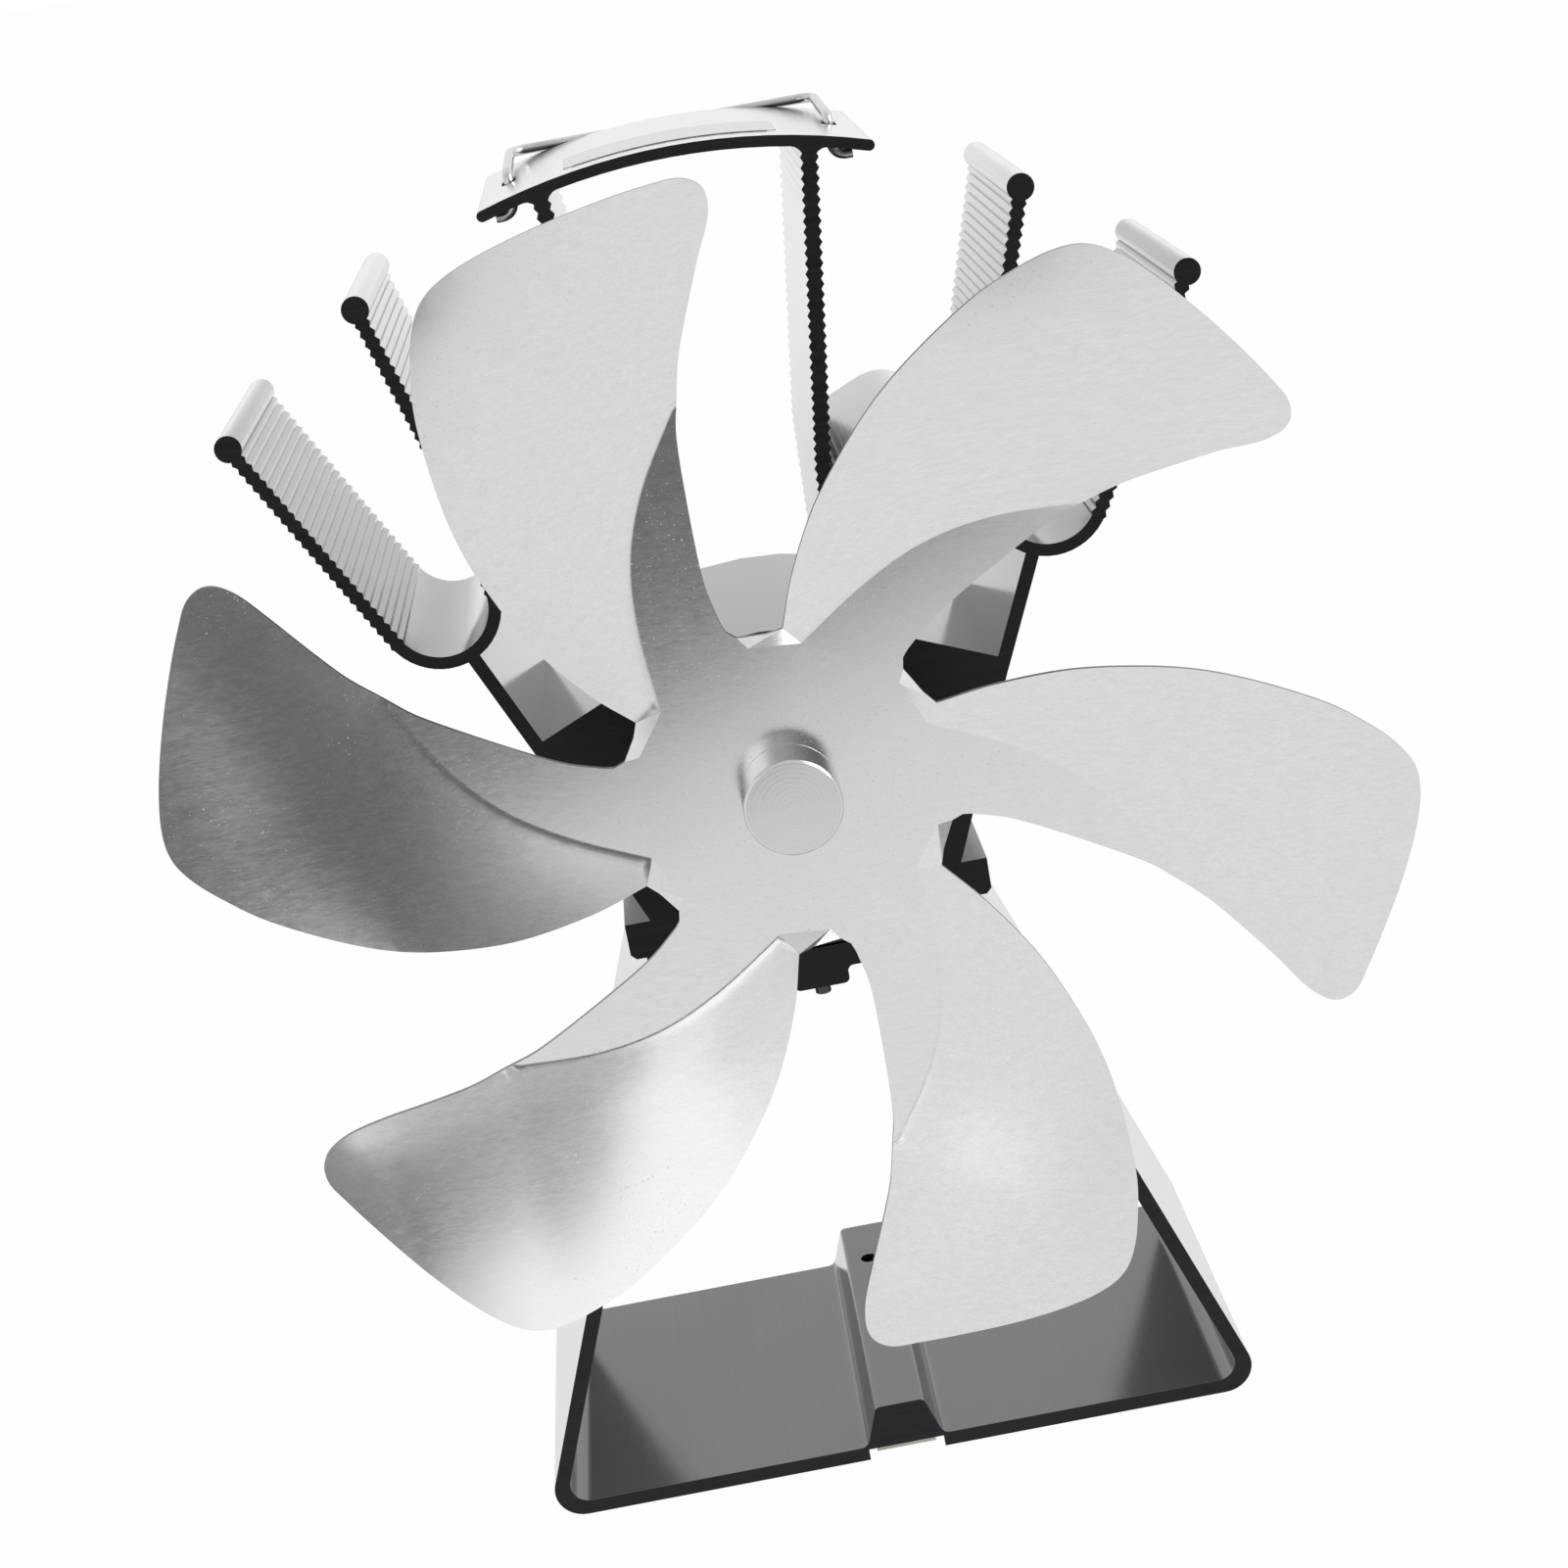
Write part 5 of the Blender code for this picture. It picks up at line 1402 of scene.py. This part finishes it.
@dataclass
class Studio:
    """The camera, a pale floor, the room that polished faces mirror, and two soft lamps.

    The room's angles are in degrees: to the right of straight ahead, or above the horizon.
    """

    floor_plan: tuple = (
        (-9.0, -0.12), (-0.45, -0.12), (-0.10, -0.37), (0.03, -0.54),
        (0.25, -0.80), (9.0, -0.80), (9.0, 14.0), (-9.0, 14.0),
    )
    floor_z: float = -0.02 * MM
    floor_tones: tuple = (0.80, 0.82)
    floor_cloud_scale: float = 3.0
    floor_glow: float = 0.97
    floor_sheen: float = 0.85
    camera_at: tuple = (-5.5 * MM, -394.95 * MM, 247.95 * MM)
    view: tuple = (0.01286, 0.94481, -0.32736)
    up: tuple = (0.18452, 0.31953, 0.92944)
    focal: float = 2800.0
    frame_pixels: float = 1601.0
    sensor: float = 36.0
    nearest: float = 0.01
    border_line: tuple = (
        (-30, -12, -6, -1, 4, 9, 14, 19, 24, 30),
        (-24, -24, -14, -9, -6, -7, -10, -12, -15, -18),
    )
    border_soft: tuple = (-5.0, 5.0)
    dim_right: tuple = (52.0, 42.0)
    dim_top: tuple = (0.0, 12.0, 36.0, 26.0)
    dim_top_soft: tuple = (-6.0, 6.0)
    dim_line: tuple = ((-10, 6, 14, 22), (0.14, 0.15, 0.24, 0.36))
    lit_side: tuple = (14.0, 2.0, 0.0, 0.15)
    lit_height: tuple = (5.0, 14.0)
    wall_foot: tuple = (-8.0, 0.0)
    wall_top: tuple = (34.0, 22.0)
    wall_left: tuple = (-42.0, -30.0)
    ceiling_from: tuple = (26.0, 38.0)
    front_sides: tuple = (70.0, 110.0)
    front_room: float = 0.86
    window_wall: float = 1.18
    ceiling: float = 0.70
    white_room: float = 0.95
    ambient: float = 0.62
    lamp_target: tuple = (0, 0, 0.12)
    window_lamp: tuple = ((0.9, -0.35, 0.75), 0.7, 5.0)
    top_lamp: tuple = ((0.1, 0.5, 1.1), 1.1, 3.4)

    def camera(self) -> bpy.types.Object:
        """Places the camera where the photograph was taken from.

        Returns:
            The camera.
        """
        data = bpy.data.cameras.new("camera")
        data.sensor_width = self.sensor
        data.lens = self.focal / self.frame_pixels * data.sensor_width
        data.clip_start = self.nearest
        camera = linked("camera", data)
        ahead = Vector(self.view).normalized()
        right = ahead.cross(Vector(self.up)).normalized()
        over = right.cross(ahead)
        turn = Matrix((right, over, -ahead)).transposed().to_4x4()
        camera.matrix_world = Matrix.Translation(self.camera_at) @ turn
        bpy.context.scene.camera = camera
        return camera

    def front(self, bench: NodeBench, side: object, height: object) -> Socket:
        """Paints the room in front: a dim side, and a bright wall on its left.

        Args:
            bench: the room's bench.
            side: degrees to the right of straight ahead.
            height: degrees above the horizon.

        Returns:
            The colour's socket.
        """
        border = bench.traced(height, *self.border_line)
        right_of = bench.remap(bench.math("SUBTRACT", side, border), *self.border_soft, 0.0, 1.0)
        near = bench.remap(side, *self.dim_right, 0.0, 1.0)
        below = bench.math("SUBTRACT", bench.remap(side, *self.dim_top, False), height)
        dark = bench.product(right_of, near, bench.remap(below, *self.dim_top_soft, 0.0, 1.0))
        lit = bench.remap(height, *self.lit_height, 0.0, 1.0)
        lit = bench.product(bench.remap(side, *self.lit_side), lit)
        dim = bench.math("ADD", bench.traced(height, *self.dim_line), lit)
        wall = bench.math("SUBTRACT", 1.0, right_of)
        for angle, edges in ((height, self.wall_foot), (height, self.wall_top), (side, self.wall_left)):
            wall = bench.product(wall, bench.remap(angle, *edges, 0.0, 1.0))
        color = bench.blend(wall, (self.front_room,) * 3, (self.window_wall,) * 3)
        above = bench.remap(height, *self.ceiling_from, 0.0, 1.0)
        color = bench.blend(above, color, (self.ceiling,) * 3)
        return bench.blend(dark, color, bench.fed("CombineXYZ", dim, dim, dim).outputs[0])

    def world(self) -> None:
        """Paints the room that polished faces mirror, and the light it spreads."""
        world = bpy.data.worlds.new("room")
        bpy.context.scene.world = world
        world.use_nodes = True
        bench = NodeBench(world.node_tree)
        way = bench.fed("SeparateXYZ", bench.add("TexCoord").outputs["Generated"]).outputs
        ahead = bench.math("MULTIPLY", way["Y"], -1.0)
        side = bench.math("DEGREES", bench.math("ARCTAN2", way["X"], ahead))
        height = bench.math("DEGREES", bench.math("ARCSINE", way["Z"]))
        in_front = bench.remap(bench.math("ABSOLUTE", side), *self.front_sides, 1.0, 0.0)
        tone = bench.blend(in_front, (self.white_room,) * 3, self.front(bench, side, height))
        paths = bench.add("LightPath").outputs
        mirrored = bench.math("ADD", paths["Is Glossy Ray"], paths["Is Transmission Ray"], clamp=True)
        spread = bench.blend(mirrored, (self.ambient,) * 3, tone)
        spread = bench.blend(paths["Is Camera Ray"], spread, (1.0, 1.0, 1.0))
        bench.fed("OutputWorld", bench.fed("Background", spread).outputs[0])

    def floor(self) -> bpy.types.Object:
        """Lays the pale floor, white to the camera but for a soft shadow.

        Returns:
            The floor.
        """
        shape = bmesh.new()
        shape.faces.new([shape.verts.new((x, y, self.floor_z)) for x, y in self.floor_plan])
        floor = mesh_piece("floor", shape)
        made = bpy.data.materials.new("pale_floor")
        made.use_nodes = True
        bench = NodeBench(made.node_tree)
        place = bench.add("TexCoord").outputs["Object"]
        clouds = SHELF.place(bench, Effect.CLOUDS, Vector=place, Scale=self.floor_cloud_scale)
        pale = bench.blend(clouds.outputs["Tone"], *((tone,) * 3 for tone in self.floor_tones))
        paths = bench.add("LightPath").outputs
        shown = bench.blend(paths["Is Camera Ray"], (self.floor_sheen,) * 3, (1.0, 1.0, 1.0))
        straight = bench.math("ADD", paths["Is Camera Ray"], paths["Is Glossy Ray"], clamp=True)
        kinds = (("BsdfDiffuse", pale), ("Emission", shown))
        shaders = (bench.fed(kind, color).outputs[0] for kind, color in kinds)
        mixed = bench.fed("MixShader", bench.product(straight, self.floor_glow), *shaders)
        bench.fed("OutputMaterial", mixed.outputs[0])
        floor.data.materials.append(made)
        return floor

    def lamp(self, name: str, at: Sequence[float], size: float, power: float) -> bpy.types.Object:
        """Hangs one soft square lamp that looks at the fan.

        Args:
            name: the lamp's name.
            at: where it hangs.
            size: its side in metres.
            power: its power in watts.

        Returns:
            The lamp.
        """
        data = bpy.data.lights.new(name, "AREA")
        data.shape = "SQUARE"
        data.size = size
        data.energy = power
        lamp = linked(name, data)
        away = Vector(self.lamp_target) - Vector(at)
        lamp.matrix_world = Matrix.Translation(at) @ away.to_track_quat("-Z", "Y").to_matrix().to_4x4()
        return lamp

    def build(self) -> None:
        """Sets up the camera, the room, the floor and the lamps."""
        bpy.context.scene.view_settings.view_transform = "Standard"
        self.camera()
        self.world()
        self.floor()
        self.lamp("window_lamp", *self.window_lamp)
        overhead = self.lamp("top_lamp", *self.top_lamp)
        overhead.visible_glossy = False
        LOG.info("studio ready")


def main() -> None:
    """Builds the studio, dresses the frame's own nodes, and builds each finer piece in order."""
    logging.basicConfig(level=logging.INFO, format="%(name)s: %(message)s")
    Studio().build()
    FrameParts().build()
    bodies = (EdgedExtrusion("heat_sink"), EdgedExtrusion("base_frame"))
    for assembly in (*bodies, FanSheet(), HubKnob(), CarryHandle(), BlankLabel()):
        assembly.build()


if __name__ == "__main__":
    main()
